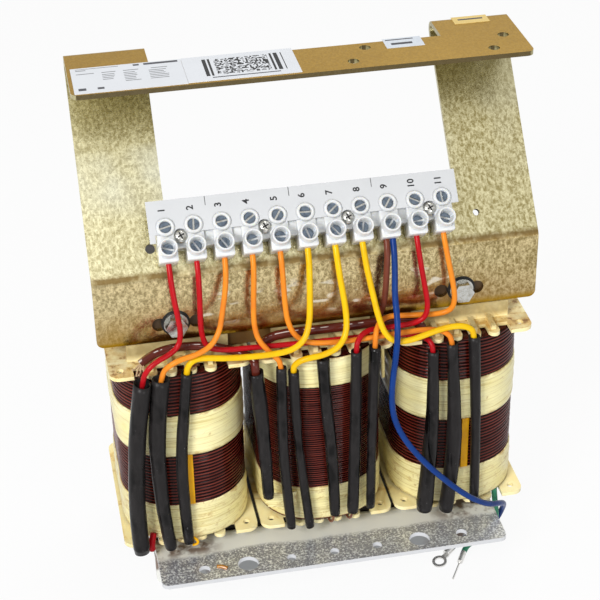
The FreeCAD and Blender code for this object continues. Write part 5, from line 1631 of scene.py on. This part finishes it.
@dataclass
class LabelPrint:
    """Rulings on the flange's labels that stand for fine print: bars, with no letters in them."""

    top: float = 232.54
    bars: Sequence[tuple[float, float, float, float]] = (
        (-62.0, 13.0, 13.6, 1.7), (-66.2, 13.0, 2.4, 1.5), (-89.0, 14.0, 17.0, 0.35),
        (-89.0, 12.6, 4.0, 0.45), (-89.0, 9.3, 7.0, 0.45), (-79.0, 9.3, 5.5, 0.45), (-70.5, 9.3, 6.0, 0.45),
        (-59.5, 9.3, 6.4, 0.45), (-89.2, -6.0, 3.0, 2.2), (-81.8, -5.8, 2.6, 1.8), (-37.0, -5.6, 27.0, 0.8),
        (36.4, 13.6, 11.6, 0.9), (38.0, 9.0, 8.8, 1.9), (70.8, 27.2, 10.6, 1.3))
    table: Sequence[tuple[float, float, int]] = ((-79.0, 5.2, 4), (-70.5, 6.2, 6), (-60.6, 7.6, 6))
    table_top: float = 7.3
    line_step: float = 1.55
    line_height: float = 0.42

    def make(self) -> None:
        """Each bar is a flat quad just above the labels, and each table a column of uneven bars."""
        rng = np.random.default_rng(5)
        rows = list(self.bars)
        for x, width, count in self.table:
            for line in range(count):
                share = rng.uniform(0.7, 1.0)
                rows.append((x, self.table_top - line * self.line_step, width * share, self.line_height))
        corners = [(x + u * w, y + v * h, self.top) for x, y, w, h in rows
                   for u, v in ((0, 0), (1, 0), (1, 1), (0, 1))]
        faces = np.arange(len(corners)).reshape(-1, 4)
        piece = mesh_object("label_rulings", np.array(corners), faces, smooth=False)
        add_piece(piece, Finish.PRINT, "label_white")


@dataclass
class Lamp:
    """A square soft light: its place and its aim in metres, its side in metres and its power in watts."""

    name: str
    place: Point
    aim: Point
    size: float
    watts: float

    def make(self) -> None:
        """Adds the light and turns it to its aim."""
        data = bpy.data.lights.new(self.name, "AREA")
        data.shape = "SQUARE"
        data.size = self.size
        data.energy = self.watts
        item = link(self.name, data)
        item.location = self.place
        item.rotation_euler = (Vector(self.aim) - Vector(self.place)).to_track_quat("-Z", "Y").to_euler()


@dataclass
class Studio:
    """Camera, lamps, world and floor. The focal length and the shift are in pixels and millimetres."""

    focal: float = 1693.92
    image: float = 600.0
    azimuth: float = -10.55
    elevation: float = 31.85
    roll: float = -1.21
    distance: float = 722.25
    shift: Point2 = (-7.66, 29.24)
    centre: Point = (0.0, -20.0, 100.0)
    sensor: float = 36.0
    sky: float = 0.37
    floor_half: float = 4000.0
    lamps: Sequence[Lamp] = (
        Lamp("key", (-0.75, -0.95, 0.85), (0.0, 0.0, 0.12), 0.45, 16.0),
        Lamp("fill", (0.36, -1.1, 0.33), (0.0, 0.0, 0.1), 0.3, 2.8),
        Lamp("rear", (0.24, 0.30, 1.15), (0.0, 0.0, 0.12), 0.36, 4.0))

    def camera(self) -> None:
        """Places the camera on a line from the centre, moved by the shift along the picture's sides."""
        az, el, roll = (math.radians(v) for v in (self.azimuth, self.elevation, self.roll))
        back = Vector((math.sin(az) * math.cos(el), -math.cos(az) * math.cos(el), math.sin(el)))
        right = Vector((math.cos(az), math.sin(az), 0.0))
        up = back.cross(right)
        across = right * math.cos(roll) + up * math.sin(roll)
        upright = up * math.cos(roll) - right * math.sin(roll)
        target = Vector(self.centre) + across * self.shift[0] + upright * self.shift[1]
        place = (target + back * self.distance) * MM
        data = bpy.data.cameras.new("camera")
        data.sensor_width = self.sensor
        data.lens = self.focal * self.sensor / self.image
        data.clip_start = 0.01
        item = link("camera", data)
        item.matrix_world = Matrix((*zip(across, upright, back, place), (0, 0, 0, 1)))
        bpy.context.scene.camera = item

    def world(self) -> None:
        """A plain pale sky that is white where the camera or a reflection sees it."""
        world = bpy.data.worlds.new("sky")
        bpy.context.scene.world = world
        shader = Shader(world, "ShaderNodeOutputWorld")
        plain, seen = (shader.read("ShaderNodeBackground", 0, None, {"Color": WHITE, "Strength": strength})
                       for strength in (self.sky, 1.0))
        shader.mix(shader.seen(), plain, seen)

    def floor(self) -> None:
        """A wide level floor under the part."""
        corners = np.array([(x * self.floor_half, y * self.floor_half, 0.0)
                            for x, y in ((-1, -1), (1, -1), (1, 1), (-1, 1))])
        item = mesh_object("floor", corners, np.array([[0, 1, 2, 3]]), smooth=False)
        item.data.materials.append(PaleGround().material)

    def make(self) -> None:
        """Builds the studio."""
        self.camera()
        self.world()
        self.floor()
        for lamp in self.lamps:
            lamp.make()
        bpy.context.scene.view_settings.view_transform = "Standard"


def dress_frame() -> None:
    """Gives every CAD node that stays its finish."""
    dress(Finish.CORE, "laminated_core")
    dress(Finish.BRACKET, "mounting_bracket")
    dress(Finish.FOOT, "front_foot", "rear_foot")
    dress(Finish.FORMER, "bobbin_left", "bobbin_middle", "bobbin_right")
    dress(Finish.BOLT, "upper_bolts", "lower_bolts", "bolt_washers", "bolt_nuts", "strip_nuts")
    dress(Finish.BUSH, "insulating_bushes")
    dress(Finish.CARD, "marker_card")
    dress(Finish.SCREW, "terminal_clamps")
    dress(Finish.AMBER, "lead_strip_left", "lead_strip_right")
    dress(Finish.LABEL, "label_large")
    dress(Finish.CODE, "label_code")
    dress(Finish.DATE, "label_small")
    dress(Finish.YELLOW_LABEL, "label_yellow")
    dress(Finish.LUG, "ring_lug", "crimp_pin")


def main() -> None:
    """Builds the studio and every sub-assembly in order."""
    logging.basicConfig(level=logging.INFO, format="%(name)s: %(message)s")
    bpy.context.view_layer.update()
    Studio().make()
    LooseLeads().make()
    for lead in LEADS:
        lead.make()
    BrownCables().make()
    dress_frame()
    outer = (1.6, Finish.THICK_WIRE, Band(78.0, 98.3), Band(33.9, 52.0))
    Coil(CoilSide.LEFT, *outer).make()
    Coil(CoilSide.MIDDLE, 1.1, Finish.FINE_WIRE, Band(103.8, 117.4), Band(34.6, 51.6, 0.32)).make()
    Coil(CoilSide.RIGHT, *outer).make()
    make_sleeves()
    WireEnds().make()
    for tail in TAILS:
        tail.make()
    for assembly in (TapeFlap(), TerminalStrip(), MarkerPrint(), LabelPrint()):
        assembly.make()


if __name__ == "__main__":
    main()
